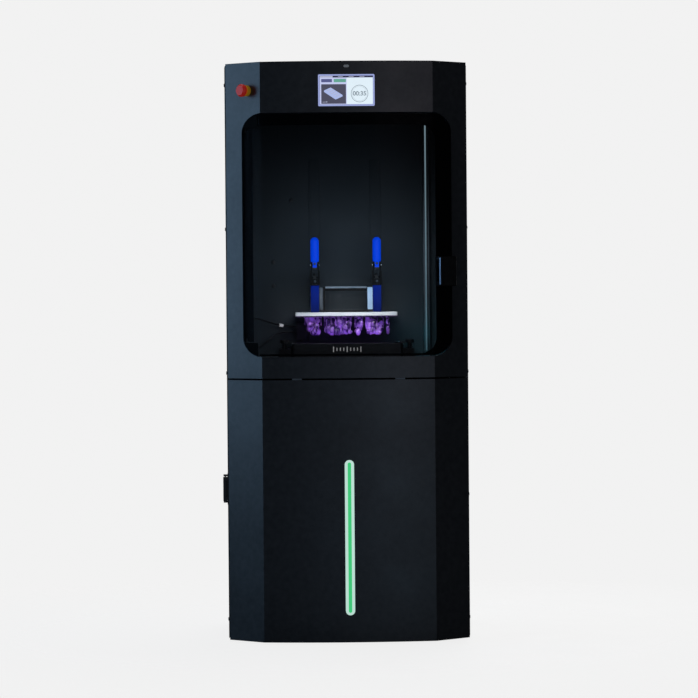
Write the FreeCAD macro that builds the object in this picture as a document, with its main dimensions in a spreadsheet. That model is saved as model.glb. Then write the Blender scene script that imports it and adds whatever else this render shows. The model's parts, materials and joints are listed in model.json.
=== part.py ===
import FreeCAD, Part

import math
import os

import Sketcher
from FreeCAD import Placement, Rotation, Vector

# ---------------------------------------------------------------------------
# Driving dimensions, in millimetres.
# The frame: X to the right, Y to the back, Z up; the origin is the middle of
# the footprint, on the floor.
# ---------------------------------------------------------------------------
SIZES = {
    # the case
    "half_width": 352, "half_depth": 345, "height": 1676,
    "shell_half": 348, "shell_back": -182, "sheet": 3,
    "crease_x": 248, "crease_y": -325, "corner_y": -237,
    "foot_height": 8, "foot_x": 280, "foot_front": -140, "foot_back": 290,
    "base_front": -178, "frame_foot": 14, "door_top": 762, "shell_foot": 767,
    "panel": 2, "panel_front": -180, "panel_back": 341,
    # the window and its opening
    "window_half": 302, "window_low": 828, "window_top": 1529, "window_round": 57,
    "window_gap": 1.5, "glass": 6, "window_notch": 42, "notch_x": -256,
    "pivot_x": -291, "pivot_y": -280.2,
    # the front controls
    "display_z": 1592, "display_half": 81, "display_tall": 91,
    "status_z": 1661, "status_half": 8, "status_tall": 8,
    "stop_x": -286, "stop_y": -291.6, "stop_z": 1595,
    # the lower door
    "bar_low": 86, "bar_top": 532, "bar_half": 13.5, "core_half": 5,
    "door_back": -186, "door_pin_x": 341.5, "door_pin_y": -190.5, "pin_radius": 2.5,
    "latch_z": 445, "latch_x": -358.5, "latch_y": -197.5,
    # the chamber
    "deck": 822, "deck_thick": 10, "chamber_half": 291, "wall": 2,
    "wall_front": -262, "back_y": 105, "ceiling": 1545,
    "slot_x": 92, "slot_half": 17, "slot_low": 938, "slot_top": 1412,
    # the build platform
    "plate_half": 150, "plate_front": -95, "plate_back": 80,
    "plate_low": 941.5, "plate_top": 954.5, "clamp_z": 1029.5,
    # the vat
    "vat_half": 164, "vat_front": -145, "vat_back": 100, "vat_top": 864,
    "vat_wall": 9, "vat_lift": 0.4,
    # the vertical axis
    "spine_y": 200, "rail_x": 130, "rail_half": 7.5, "rail_deep": 12,
    "screw_x": 55, "screw_y": 178, "screw_radius": 8, "carriage_z": 1090,
    "running": 0.05,
    # the frame and the back
    "tube": 25, "post_x": 322, "front_post": -160, "rear_post": 313, "deck_rail": 786,
    "fan_z": 1250, "fan_radius": 54, "inlet_x": 222, "inlet_z": 112,
    "engine_half": 165, "engine_low": 560, "engine_front": -130, "engine_back": 90,
}

doc = FreeCAD.newDocument("resin_printer")
sheet = doc.addObject("Spreadsheet::Sheet", "Sizes")
for row, (alias, number) in enumerate(SIZES.items(), start=1):
    sheet.set(f"A{row}", alias)
    sheet.set(f"B{row}", str(number))
    sheet.setAlias(f"B{row}", alias)
doc.recompute()


class Size:
    """A length that knows its number and the sheet expression that gives it."""

    def __init__(self, number, text):
        self.number = number
        self.text = text

    def joined(self, other, sign, number):
        return Size(number, f"({self.text} {sign} {text_of(other)})")

    def __add__(self, other):
        return self.joined(other, "+", self.number + number_of(other))

    def __sub__(self, other):
        return self.joined(other, "-", self.number - number_of(other))

    def __mul__(self, other):
        return self.joined(other, "*", self.number * number_of(other))

    def __truediv__(self, other):
        return self.joined(other, "/", self.number / number_of(other))

    def __radd__(self, other):
        return Size(other, str(other)) + self

    def __rsub__(self, other):
        return Size(other, str(other)) - self

    def __rmul__(self, other):
        return Size(other, str(other)) * self

    def __neg__(self):
        return Size(-self.number, f"(-{self.text})")


def number_of(value):
    return value.number if isinstance(value, Size) else value


def text_of(value):
    return value.text if isinstance(value, Size) else str(value)


def root(value):
    return Size(math.sqrt(number_of(value)), f"sqrt({text_of(value)})")


class Sheet:
    """Every driving dimension as a Size, by its alias."""


dim = Sheet()
for alias, number in SIZES.items():
    setattr(dim, alias, Size(number, f"Sizes.{alias}"))

pieces = []


def bind(item, prop, value):
    """Ties one property of an object to its sheet expression."""
    if isinstance(value, Size):
        item.setExpression(prop, value.text)
    else:
        item.setExpression(prop, str(value))


def place(item, x, y, z):
    bind(item, "Placement.Base.x", x)
    bind(item, "Placement.Base.y", y)
    bind(item, "Placement.Base.z", z)


def piece(label, item):
    """Names a finished sub-part; its label is its node and its file."""
    item.Label = label
    pieces.append(item)
    return item


def fresh(kind, name):
    return doc.addObject(kind, name)


def box(x, y, z, name="block"):
    """A block between a low and a high value on each axis."""
    item = fresh("Part::Box", name)
    bind(item, "Length", x[1] - x[0])
    bind(item, "Width", y[1] - y[0])
    bind(item, "Height", z[1] - z[0])
    place(item, x[0], y[0], z[0])
    return item


TURNS = {
    "X": Rotation(Vector(0, 1, 0), 90),
    "Y": Rotation(Vector(1, 0, 0), -90),
    "Z": Rotation(),
}


def rod(radius, axis, start, length, name="rod"):
    """A cylinder from its start point along X, Y or Z."""
    item = fresh("Part::Cylinder", name)
    bind(item, "Radius", radius)
    bind(item, "Height", length)
    item.Placement = Placement(Vector(), TURNS[axis])
    place(item, *start)
    return item


def taper(low_radius, high_radius, axis, start, length, name="taper"):
    item = fresh("Part::Cone", name)
    bind(item, "Radius1", low_radius)
    bind(item, "Radius2", high_radius)
    bind(item, "Height", length)
    item.Placement = Placement(Vector(), TURNS[axis])
    place(item, *start)
    return item


def fuse(*items):
    item = fresh("Part::MultiFuse", "joined")
    item.Shapes = list(items)
    return item


def cut(base, *tools):
    item = fresh("Part::Cut", "opened")
    item.Base = base
    item.Tool = tools[0] if len(tools) == 1 else fuse(*tools)
    return item


def shared(*items):
    item = fresh("Part::MultiCommon", "shared")
    item.Shapes = list(items)
    return item


def together(*items):
    """Separate solids that belong to one sub-part, such as a set of screws."""
    item = fresh("Part::Compound", "group")
    item.Links = list(items)
    return item


def mirrored(source):
    """The same sub-part on the other side of the middle plane."""
    item = fresh("Part::Mirroring", "mirrored")
    item.Source = source
    item.Base = Vector(0, 0, 0)
    item.Normal = Vector(1, 0, 0)
    return item


def rounded(base, radius, wanted=None):
    """Fillets the edges that wanted() picks, or all of them."""
    doc.recompute()
    item = fresh("Part::Fillet", "rounded")
    item.Base = base
    edges = []
    for number, edge in enumerate(base.Shape.Edges, start=1):
        if wanted is None or wanted(edge):
            edges.append((number, radius, radius))
    item.Edges = edges
    return item


def along(axis):
    """Picks the straight edges that run along an axis."""
    direction = {"X": Vector(1, 0, 0), "Y": Vector(0, 1, 0), "Z": Vector(0, 0, 1)}[axis]

    def wanted(edge):
        ends = [vertex.Point for vertex in edge.Vertexes]
        if len(ends) < 2:
            return False
        run = (ends[1] - ends[0])
        return run.Length > 0 and abs(abs(run.normalize().dot(direction)) - 1) < 1e-6

    return wanted


def outline_prism(points, low, high, plane="XY_Plane", arcs=None, name="prism"):
    """A PartDesign pad of a closed outline given by its corners, anticlockwise.

    arcs maps the number of a side to the centre that the side curves about;
    the prism runs from low to high along the plane's normal.
    """
    arcs = arcs or {}
    body = fresh("PartDesign::Body", name)
    base = [part for part in body.Origin.OriginFeatures if part.Role == plane][0]
    sketch = body.newObject("Sketcher::SketchObject", name + "_outline")
    sketch.AttachmentSupport = [(base, "")]
    sketch.MapMode = "FlatFace"
    bind(sketch, "AttachmentOffset.Base.z", low)
    count = len(points)
    spots = [Vector(number_of(x), number_of(y), 0) for x, y in points]
    for side in range(count):
        start = spots[side]
        end = spots[(side + 1) % count]
        if side in arcs:
            centre = Vector(number_of(arcs[side][0]), number_of(arcs[side][1]), 0)
            first = math.atan2(start.y - centre.y, start.x - centre.x)
            last = math.atan2(end.y - centre.y, end.x - centre.x)
            circle = Part.Circle(centre, Vector(0, 0, 1), (start - centre).Length)
            sketch.addGeometry(Part.ArcOfCircle(circle, first, last), False)
        else:
            sketch.addGeometry(Part.LineSegment(start, end), False)
    for side in range(count):
        following = (side + 1) % count
        sketch.addConstraint(Sketcher.Constraint("Coincident", side, 2, following, 1))
    for side, (x, y) in enumerate(points):
        tie_point(sketch, side, 1, x, y)
    for side, (x, y) in arcs.items():
        # one coordinate of the centre is enough: the ends give the other
        run = spots[(side + 1) % count] - spots[side]
        if abs(run.x) > abs(run.y):
            tie(sketch, "DistanceY", side, 3, y)
        else:
            tie(sketch, "DistanceX", side, 3, x)
    pad = body.newObject("PartDesign::Pad", name + "_pad")
    pad.Profile = sketch
    bind(pad, "Length", high - low)
    body.Tip = pad
    return body


def tie(sketch, kind, side, point, value):
    number = sketch.addConstraint(
        Sketcher.Constraint(kind, -1, 1, side, point, float(number_of(value))))
    bind(sketch, f"Constraints[{number}]", value)


def tie_point(sketch, side, point, x, y):
    tie(sketch, "DistanceX", side, point, x)
    tie(sketch, "DistanceY", side, point, y)


def rounded_outline(left, right, bottom, top, radius):
    """The corners and arc centres of a rectangle with round corners."""
    points = [
        (left + radius, bottom), (right - radius, bottom),
        (right, bottom + radius), (right, top - radius),
        (right - radius, top), (left + radius, top),
        (left, top - radius), (left, bottom + radius),
    ]
    arcs = {
        1: (right - radius, bottom + radius), 3: (right - radius, top - radius),
        5: (left + radius, top - radius), 7: (left + radius, bottom + radius),
    }
    return points, arcs


def front_tablet(left, right, bottom, top, radius, front, back, name="tablet"):
    """A rounded rectangle seen from the front, between two depths.

    The XZ plane's normal points forward, so the pad runs from back to front.
    """
    points, arcs = rounded_outline(left, right, bottom, top, radius)
    return outline_prism(points, -back, -front, "XZ_Plane", arcs, name)


def flat_tablet(left, right, front, back, radius, low, high, name="slab"):
    """A rounded rectangle seen from above, between two heights."""
    points, arcs = rounded_outline(left, right, front, back, radius)
    return outline_prism(points, low, high, "XY_Plane", arcs, name)


# The plan of the front: a shallow bow between two creases, then two chamfers.
bow = dim.crease_y + dim.half_depth
bow_radius = (dim.crease_x * dim.crease_x + bow * bow) / (2 * bow)
bow_centre = bow_radius - dim.half_depth
chamfer_x = dim.shell_half - dim.crease_x
chamfer_y = dim.corner_y - dim.crease_y
chamfer_run = root(chamfer_x * chamfer_x + chamfer_y * chamfer_y)
chamfer_sine = chamfer_y / chamfer_run
chamfer_cosine = chamfer_x / chamfer_run
bow_sine = dim.crease_x / bow_radius
bow_cosine = root(1 - bow_sine * bow_sine)
mitre = 1 + chamfer_cosine * bow_cosine + chamfer_sine * bow_sine


def bowed_prism(inset, back, low, high, name="bowed"):
    """The case's front outline, set in by inset, as a prism from low to high."""
    side = dim.shell_half - inset
    corner = dim.corner_y + inset * (chamfer_run - chamfer_y) / chamfer_x
    crease_x = dim.crease_x - inset * (chamfer_sine + bow_sine) / mitre
    radius = bow_radius - inset
    crease_y = bow_centre - root(radius * radius - crease_x * crease_x)
    points = [
        (-side, back), (-side, corner), (-crease_x, crease_y),
        (crease_x, crease_y), (side, corner), (side, back),
    ]
    return outline_prism(points, low, high, "XY_Plane", {2: (0, bow_centre)}, name)


def bowed_skin(inset, thick, back, low, high, name="skin"):
    """A curved front sheet of even thickness."""
    outer = bowed_prism(inset, back, low, high, name)
    inner = bowed_prism(inset + thick, back + 1, low - 1, high + 1, name + "_inside")
    return cut(outer, inner)


def window_tablet(gap, name="window"):
    """The window's outline, shrunk by gap, as a block through the whole front."""
    return front_tablet(-dim.window_half + gap, dim.window_half - gap,
                        dim.window_low + gap, dim.window_top - gap,
                        dim.window_round - gap, -400, -200, name)


# ---------------------------------------------------------------------------
# The case
# ---------------------------------------------------------------------------
def base_plate():
    return piece("base_plate",
                 box((-340, 340), (dim.base_front, dim.panel_back - 4),
                     (dim.foot_height, dim.frame_foot)))


def levelling_feet():
    feet = []
    for x in (-dim.foot_x, dim.foot_x):
        for y in (dim.foot_front, dim.foot_back):
            disc = rod(28, "Z", (x, y, 0), dim.foot_height - 2)
            stem = rod(6, "Z", (x, y, dim.foot_height - 2), 2)
            feet.append(fuse(disc, stem))
    return piece("levelling_feet", together(*feet))


def frame_tubes():
    """The square tubes of the frame, each butted against its neighbours."""
    half = dim.tube / 2
    post_x = dim.post_x
    low = dim.frame_foot
    top = dim.height - 8
    tubes = []
    for side in (-1, 1):
        x = side * post_x
        for y in (dim.front_post, dim.rear_post):
            tubes.append(box((x - half, x + half), (y - half, y + half), (low, top)))
        for level in (dim.deck_rail, top - dim.tube):
            tubes.append(box((x - half, x + half),
                             (dim.front_post + half, dim.rear_post - half),
                             (level, level + dim.tube)))
    for level in (dim.deck_rail, top - dim.tube):
        tubes.append(box((-post_x + half, post_x - half),
                         (dim.spine_y + 12, dim.spine_y + 12 + dim.tube),
                         (level, level + dim.tube)))
    return piece("frame_tubes", together(*tubes))


def side_panel():
    """A folded sheet with a return at its front and back edges."""
    outer = -dim.half_width
    inner = outer + dim.panel
    lip = outer + 14
    front = dim.panel_front
    back = dim.panel_back
    points = [
        (outer, front), (lip, front), (lip, front + dim.panel),
        (inner, front + dim.panel), (inner, back - dim.panel),
        (lip, back - dim.panel), (lip, back), (outer, back),
    ]
    return outline_prism(points, dim.foot_height, dim.height - 5, name="side_sheet")


def rear_panel():
    """The back sheet, with louvre slots, the fan hole and the inlet's cut-out."""
    back = dim.half_depth
    sheet_body = box((-337, 337), (dim.panel_back - 3, dim.panel_back - 1),
                     (dim.frame_foot, dim.height - 8))
    slots = []
    for column in (-150, 150):
        for row in range(9):
            low = 300 + row * 24
            slots.append(front_tablet(column - 70, column + 70, low, low + 6, 2.9,
                                      dim.panel_back - 10, back, "louvre"))
    fan_hole = rod(dim.fan_radius + 2, "Y", (0, dim.panel_back - 10, dim.fan_z), 20)
    inlet = box((dim.inlet_x - 34, dim.inlet_x + 34), (dim.panel_back - 10, back),
                (dim.inlet_z - 16, dim.inlet_z + 16))
    return piece("rear_panel", cut(sheet_body, fan_hole, inlet, *slots))


def top_cover():
    outer = box((-dim.half_width + 1, dim.half_width - 1),
                (dim.panel_front + 1, dim.panel_back),
                (dim.height - 5, dim.height - 1))
    return piece("top_cover", rounded(outer, 1.5, along("Y")))


def upper_front_shell():
    """The upper half of the front: window, display, light and stop openings."""
    outer = bowed_prism(0, dim.shell_back, dim.shell_foot, dim.height)
    inner = bowed_prism(dim.sheet, dim.shell_back + 1, dim.shell_foot - 1,
                        dim.height - dim.sheet)
    skin = cut(outer, inner)
    lip = cut(bowed_prism(1, dim.shell_back, dim.shell_foot, dim.shell_foot + 3),
              bowed_prism(16, dim.shell_back + 1, dim.shell_foot - 1, dim.shell_foot + 4))
    display = box((-dim.display_half, dim.display_half), (-360, -320),
                  (dim.display_z - dim.display_tall / 2,
                   dim.display_z + dim.display_tall / 2))
    status = box((-dim.status_half, dim.status_half), (-360, -320),
                 (dim.status_z - dim.status_tall / 2, dim.status_z + dim.status_tall / 2))
    stop_hole = on_chamfer(rod(11.2, "Z", (0, 0, -20), 40, "stop_hole"))
    return piece("upper_front_shell",
                 cut(fuse(skin, lip), window_tablet(0), display, status, stop_hole))


CHAMFER_ANGLE = math.degrees(math.atan2(chamfer_x.number, chamfer_y.number))


def on_chamfer(*items):
    """Turns parts made about +Z at the origin to stand on the left chamfer.

    Their Z axis becomes the chamfer's outward normal, at the stop's centre.
    """
    outward = Vector(-chamfer_sine.number, -chamfer_cosine.number, 0)
    turned = fresh("Part::Compound", "on_chamfer")
    turned.Links = list(items)
    turned.Placement = Placement(Vector(), Rotation(Vector(0, 0, 1), outward))
    place(turned, dim.stop_x, dim.stop_y, dim.stop_z)
    return turned


# ---------------------------------------------------------------------------
# The front controls
# ---------------------------------------------------------------------------
def display_parts():
    low = dim.display_z - dim.display_tall / 2
    top = dim.display_z + dim.display_tall / 2
    front = -dim.half_depth
    frame = front_tablet(-dim.display_half + 0.3, dim.display_half - 0.3,
                         low + 0.3, top - 0.3, 3, front, front + 9)
    pocket = box((-dim.display_half + 4, dim.display_half - 4), (front - 1, front + 3),
                 (low + 4, top - 4))
    piece("display_bezel", cut(frame, pocket))
    piece("status_lens",
          front_tablet(-dim.status_half + 0.2, dim.status_half - 0.2,
                       dim.status_z - dim.status_tall / 2 + 0.2,
                       dim.status_z + dim.status_tall / 2 - 0.2, 3.5,
                       front + 0.1, front + 6))


def stop_parts():
    """The emergency stop: collar, plunger and mushroom head."""
    flange = rod(16, "Z", (0, 0, 0.2), 11.8)
    thread = rod(11, "Z", (0, 0, -34), 34.2)
    plunger_bore = rod(6 + dim.running, "Z", (0, 0, -40), 60)
    collar = cut(fuse(flange, thread), plunger_bore)
    piece("estop_collar", on_chamfer(rounded_ring(collar, 1.2, 12)))
    piece("estop_shaft", on_chamfer(rod(6, "Z", (0, 0, -32), 56)))
    neck = rod(11, "Z", (0, 0, 16.5), 3)
    rim = rod(18, "Z", (0, 0, 19), 6)
    crown = taper(18, 13.5, "Z", (0, 0, 25), 6)
    seat = rod(6 + dim.running, "Z", (0, 0, 10), 14.2)
    piece("estop_head", on_chamfer(cut(fuse(neck, rim, crown), seat)))


def rounded_ring(base, radius, level):
    """Rounds the outer edge of a round flange at one height."""
    def wanted(edge):
        ends = edge.Vertexes
        circle = hasattr(edge.Curve, "Radius") and edge.Curve.Radius > 14
        return circle and abs(ends[0].Point.z - level) < 0.01
    return rounded(base, radius, wanted)


# ---------------------------------------------------------------------------
# The lower door, its light bar and its latch
# ---------------------------------------------------------------------------
def lower_door():
    top = dim.door_top
    outer = bowed_prism(0, dim.door_back, dim.foot_height, top)
    inner = bowed_prism(dim.sheet, dim.door_back + 1, dim.foot_height + dim.sheet,
                        top - dim.sheet)
    slot = front_tablet(-dim.bar_half, dim.bar_half, dim.bar_low, dim.bar_top,
                        dim.bar_half - 0.1, -360, -330)
    pin_holes = rod(dim.pin_radius + dim.running, "Z",
                    (dim.door_pin_x, dim.door_pin_y, dim.foot_height - 1), top)
    # the top and bottom returns stop short of the frame behind them
    return piece("lower_door", cut(outer, inner, slot, pin_holes))


WINDOW_PIN = 1.2
SEAT = 12


def hinge_brackets():
    """The fixed pins of both doors, each on its own small bracket."""
    post_front = dim.front_post - dim.tube / 2
    lug_back = dim.shell_back - 1
    brackets = []
    upper_low = dim.door_top + 0.5
    upper_pin = rod(dim.pin_radius, "Z", (dim.door_pin_x, dim.door_pin_y, dim.door_top - 6), 9)
    upper_arm = box((316, 345), (-195, lug_back), (upper_low, upper_low + 3))
    upper_tail = box((316, 334), (lug_back, post_front), (upper_low, upper_low + 3))
    brackets.append(fuse(upper_pin, upper_arm, upper_tail))
    lower_low = dim.foot_height - 3.5
    lower_pin = rod(dim.pin_radius, "Z", (dim.door_pin_x, dim.door_pin_y, lower_low), 9)
    lower_arm = box((316, 345), (-195, -150), (lower_low, lower_low + 3))
    lower_seat = box((316, 336), (-176, -150), (lower_low + 3, dim.foot_height))
    brackets.append(fuse(lower_pin, lower_arm, lower_seat))
    notch_top = dim.window_top - dim.window_notch
    notch_low = dim.window_low + dim.window_notch
    for lug_low, pin_low in ((notch_top + 2, notch_top - SEAT), (notch_low - 12, notch_low - 12)):
        lug = box((dim.pivot_x - 3.5, dim.pivot_x + 3.5),
                  (dim.pivot_y + 0.6, dim.pivot_y + 13.7), (lug_low, lug_low + 10))
        pin = rod(WINDOW_PIN, "Z", (dim.pivot_x, dim.pivot_y, pin_low), 12 + SEAT)
        brackets.append(fuse(lug, pin))
    return piece("hinge_brackets", together(*brackets))


def light_bar():
    front = -dim.half_depth
    outer = front_tablet(-dim.bar_half + 0.2, dim.bar_half - 0.2, dim.bar_low + 0.2,
                         dim.bar_top - 0.2, dim.bar_half - 0.4, front + 0.2, front + 12)
    core_room = front_tablet(-dim.core_half, dim.core_half, dim.bar_low + 7,
                             dim.bar_top - 7, dim.core_half - 0.1, front - 1, front + 6)
    piece("light_bar_diffuser", cut(outer, core_room))
    piece("light_bar_core",
          front_tablet(-dim.core_half + 0.1, dim.core_half - 0.1, dim.bar_low + 7.1,
                       dim.bar_top - 7.1, dim.core_half - 0.3, front + 0.4, front + 5.9))


def door_latch():
    """A paddle latch on the door's left side: plate, paddle and pin."""
    mid = dim.latch_z
    pin_x = dim.latch_x
    pin_y = dim.latch_y
    face = -dim.half_width
    plate = box((face, -dim.shell_half), (-238 + 6, -190), (mid - 45, mid + 45))
    ears = []
    for low in (mid - 41, mid + 36):
        ears.append(box((face - 12, face), (pin_y - 6, pin_y + 6), (low, low + 5)))
    pin = rod(2.2, "Z", (pin_x, pin_y, mid - 40), 80)
    piece("latch_plate", fuse(plate, pin, *ears))
    grip = box((face - 12.5, face - 0.5), (pin_y - 33, pin_y), (mid - 34, mid + 34))
    barrel = rod(6, "Z", (pin_x, pin_y, mid - 34), 68)
    finger = box((face - 6, face), (pin_y - 40, pin_y - 24), (mid - 24, mid + 24))
    bore = rod(2.2 + dim.running, "Z", (pin_x, pin_y, mid - 40), 80)
    piece("latch_paddle", cut(fuse(grip, barrel), finger, bore))


def catch_strikers():
    """Two bright magnetic catches that show in the seam above the door."""
    blocks = []
    for x in (-148, 148):
        blocks.append(box((x - 14, x + 14), (-336, -310),
                          (dim.door_top + 0.4, dim.shell_foot - 0.4)))
    return piece("catch_strikers", together(*blocks))


# ---------------------------------------------------------------------------
# The window door
# ---------------------------------------------------------------------------
def window_pane():
    """The smoked pane: three facets, notched and drilled for its two pivots."""
    pane = bowed_skin(1, dim.glass, -200, dim.window_low - 20, dim.window_top + 20)
    notch_top = dim.window_top - dim.window_notch
    notch_low = dim.window_low + dim.window_notch
    drill = WINDOW_PIN + dim.running
    openings = []
    for low, high in ((notch_top, dim.window_top + 30), (dim.window_low - 30, notch_low)):
        openings.append(box((-dim.window_half - 10, dim.notch_x), (-330, -200), (low, high)))
    for low in (notch_top - SEAT - 1, notch_low - 1):
        openings.append(rod(drill, "Z", (dim.pivot_x, dim.pivot_y, low), SEAT + 2))
    return piece("window_pane", cut(shared(pane, window_tablet(dim.window_gap)), *openings))


def window_pull():
    """A box pull on the window's right facet, with a finger recess."""
    block = rounded(box((-32, 32), (-43, 43), (0.1, 24)), 3)
    recess = box((-36, -14), (-30, 30), (6, 18))
    shape = cut(block, recess)
    turned = fresh("Part::Compound", "pull")
    turned.Links = [shape]
    outward = Vector(chamfer_sine.number, -chamfer_cosine.number, 0)
    facing = Rotation(Vector(chamfer_cosine.number, chamfer_sine.number, 0),
                      Vector(0, 0, 1), outward, "ZXY")
    turned.Placement = Placement(Vector(), facing)
    # the pane's outer face lies 1 mm inside the shell's
    step = 37
    x = dim.crease_x + step * chamfer_cosine - chamfer_sine
    y = dim.crease_y + step * chamfer_sine + chamfer_cosine
    place(turned, x, y, 1072)
    return piece("window_pull", turned)


# ---------------------------------------------------------------------------
# The print chamber
# ---------------------------------------------------------------------------
def chamber_walls():
    half = dim.chamber_half
    deck_low = dim.deck - dim.deck_thick
    plate = shared(bowed_prism(14, dim.back_y, deck_low, dim.deck),
                   box((-half, half), (-400, 400), (0, dim.height)))
    mask_hole = box((-150, 150), (-112, 72), (deck_low - 1, dim.deck + 1))
    piece("deck_plate", cut(plate, mask_hole))
    piece("chamber_ceiling",
          shared(bowed_prism(14, dim.back_y, dim.ceiling, dim.ceiling + dim.wall),
                 box((-half, half), (-400, 400), (0, dim.height))))
    wall = box((-half - dim.wall, -half), (dim.wall_front, dim.back_y),
               (deck_low, dim.ceiling + dim.wall))
    glands = []
    for height in (LEAD_ROUTE[0][2], TUBE_ROUTE[0][2]):
        glands.append(rod(8, "X", (-half - 0.5, GLAND_Y, height), 6.5))
    piece("chamber_left_wall", fuse(wall, *glands))
    piece("chamber_right_wall",
          box((half, half + dim.wall), (dim.wall_front, dim.back_y),
              (deck_low, dim.ceiling + dim.wall)))
    back = box((-half - dim.wall, half + dim.wall), (dim.back_y, dim.back_y + dim.wall),
               (deck_low, dim.ceiling + dim.wall))
    slots = []
    for side in (-1, 1):
        slots.append(box((side * dim.slot_x - dim.slot_half, side * dim.slot_x + dim.slot_half),
                         (dim.back_y - 1, dim.back_y + 10), (dim.slot_low, dim.slot_top)))
    piece("chamber_back_wall", cut(back, *slots))


def light_column():
    """The chamber's light: an aluminium profile with a long diffuser."""
    x = 244
    front = 84
    low = dim.deck
    top = dim.ceiling
    profile = box((x - 10, x + 10), (front, dim.back_y), (low, top))
    groove = box((x - 4, x + 4), (front - 1, front + 5), (low + 15, top - 30))
    piece("light_column", cut(rounded(profile, 2, along("Z")), groove))
    piece("light_column_diffuser",
          box((x - 3.9, x + 3.9), (front - 1, front + 4.9), (low + 15.1, top - 30.1)))


# ---------------------------------------------------------------------------
# The vertical axis
# ---------------------------------------------------------------------------
def vertical_axis():
    """The spine with its screw bearings, the rails, two ball screws and the motor."""
    deck_low = dim.deck - dim.deck_thick
    spine = box((-180, 180), (dim.spine_y, dim.spine_y + 12), (deck_low, 1560))
    shelf = box((-180, 180), (dim.back_y + 10, dim.spine_y), (deck_low, deck_low + 8))
    bearings = []
    for side in (-1, 1):
        x = side * dim.screw_x
        for low, length in ((838, 22), (1540, 14)):
            bearings.append(box((x - 20, x + 20), (dim.screw_y - 18, dim.spine_y),
                                (low, low + length)))
    bores = []
    for side in (-1, 1):
        bores.append(rod(5 + dim.running, "Z",
                         (side * dim.screw_x, dim.screw_y, deck_low - 1), 760))
    piece("z_spine", cut(fuse(spine, shelf, *bearings), *bores))
    rails = []
    for side in (-1, 1):
        x = side * dim.rail_x
        rails.append(box((x - dim.rail_half, x + dim.rail_half),
                         (dim.spine_y - dim.rail_deep, dim.spine_y), (850, 1545)))
    piece("z_rails", together(*rails))
    for label, side in (("screw_left", -1), ("screw_right", 1)):
        x = side * dim.screw_x
        foot = 60 if side < 0 else 20
        shaft = rod(dim.screw_radius, "Z", (x, dim.screw_y, 862), 676)
        core = rod(5, "Z", (x, dim.screw_y, deck_low - foot), 1554 + foot - deck_low)
        pulley = rod(16, "Z", (x, dim.screw_y, deck_low - 18), 12)
        piece(label, fuse(shaft, core, pulley))
    motor_x = -dim.screw_x
    motor = rounded(box((motor_x - 28, motor_x + 28), (dim.screw_y - 28, dim.screw_y + 28),
                        (deck_low - 120, deck_low - 24)), 4, along("Z"))
    flange = box((motor_x - 28, motor_x + 28), (dim.screw_y + 20, dim.spine_y + 12),
                 (deck_low - 24, deck_low))
    shaft_room = rod(5 + dim.running, "Z", (motor_x, dim.screw_y, deck_low - 64), 60)
    piece("z_motor", cut(fuse(motor, flange), shaft_room))


def z_carriage():
    """The carriage plate on the rails, with two arms through the slots."""
    mid = dim.carriage_z
    rail_front = dim.spine_y - dim.rail_deep
    plate_front = rail_front - 28
    plate_back = rail_front - 16
    parts = [box((-160, 160), (plate_front, plate_back), (mid - 80, mid + 80))]
    rooms = []
    for side in (-1, 1):
        rail = side * dim.rail_x
        screw = side * dim.screw_x
        slot = side * dim.slot_x
        for height in (mid - 50, mid + 50):
            parts.append(box((rail - 20, rail + 20), (plate_back, rail_front + 8),
                             (height - 25, height + 25)))
        parts.append(box((screw - 18, screw + 18), (plate_back, dim.screw_y + 16),
                         (mid - 25, mid + 25)))
        parts.append(box((slot - 12.5, slot + 12.5), (-2.4, plate_front), (1003, 1029)))
        parts.append(box((slot - 8, slot + 8), (75, plate_front), (1029, 1060)))
        rooms.append(box((rail - 7.9, rail + 7.9), (rail_front - 0.4, rail_front + 10),
                         (mid - 90, mid + 90)))
        rooms.append(rod(dim.screw_radius + dim.running, "Z",
                         (screw, dim.screw_y, mid - 90), 180))
    return piece("z_carriage", cut(fuse(*parts), *rooms))


# ---------------------------------------------------------------------------
# The build platform
# ---------------------------------------------------------------------------
def build_platform():
    plate = flat_tablet(-dim.plate_half, dim.plate_half, dim.plate_front, dim.plate_back,
                        4, dim.plate_low, dim.plate_top)
    piece("build_plate", rounded(plate, 1.2, level_edges(dim.plate_top.number)))
    frame = []
    for side in (-1, 1):
        x = side * 70.5
        frame.append(box((x - 8.5, x + 8.5), (-24, -4), (dim.plate_top, 1029)))
    frame.append(box((-62, 62), (-22, -6), (1018, 1029)))
    frame.append(box((-79, 79), (-40, 12), (dim.plate_top, dim.plate_top + 6)))
    piece("platform_frame", fuse(*frame))
    bars = []
    for side in (-1, 1):
        x = side * dim.slot_x
        bar = box((x - 12, x + 12), (-27, -3), (dim.plate_top, dim.clamp_z))
        shoe = box((x - 12, x + 12), (-27, 40), (dim.clamp_z, dim.clamp_z + 4))
        bars.append(fuse(bar, shoe))
    piece("hanger_bars", together(*bars))
    clamps()
    print_job()


def level_edges(level):
    def wanted(edge):
        return all(abs(vertex.Point.z - level) < 0.01 for vertex in edge.Vertexes)
    return wanted


LEVER_Y = -20
LEVER_Z = 1094
ARM_Y = 2
ARM_Z = 1058


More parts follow.
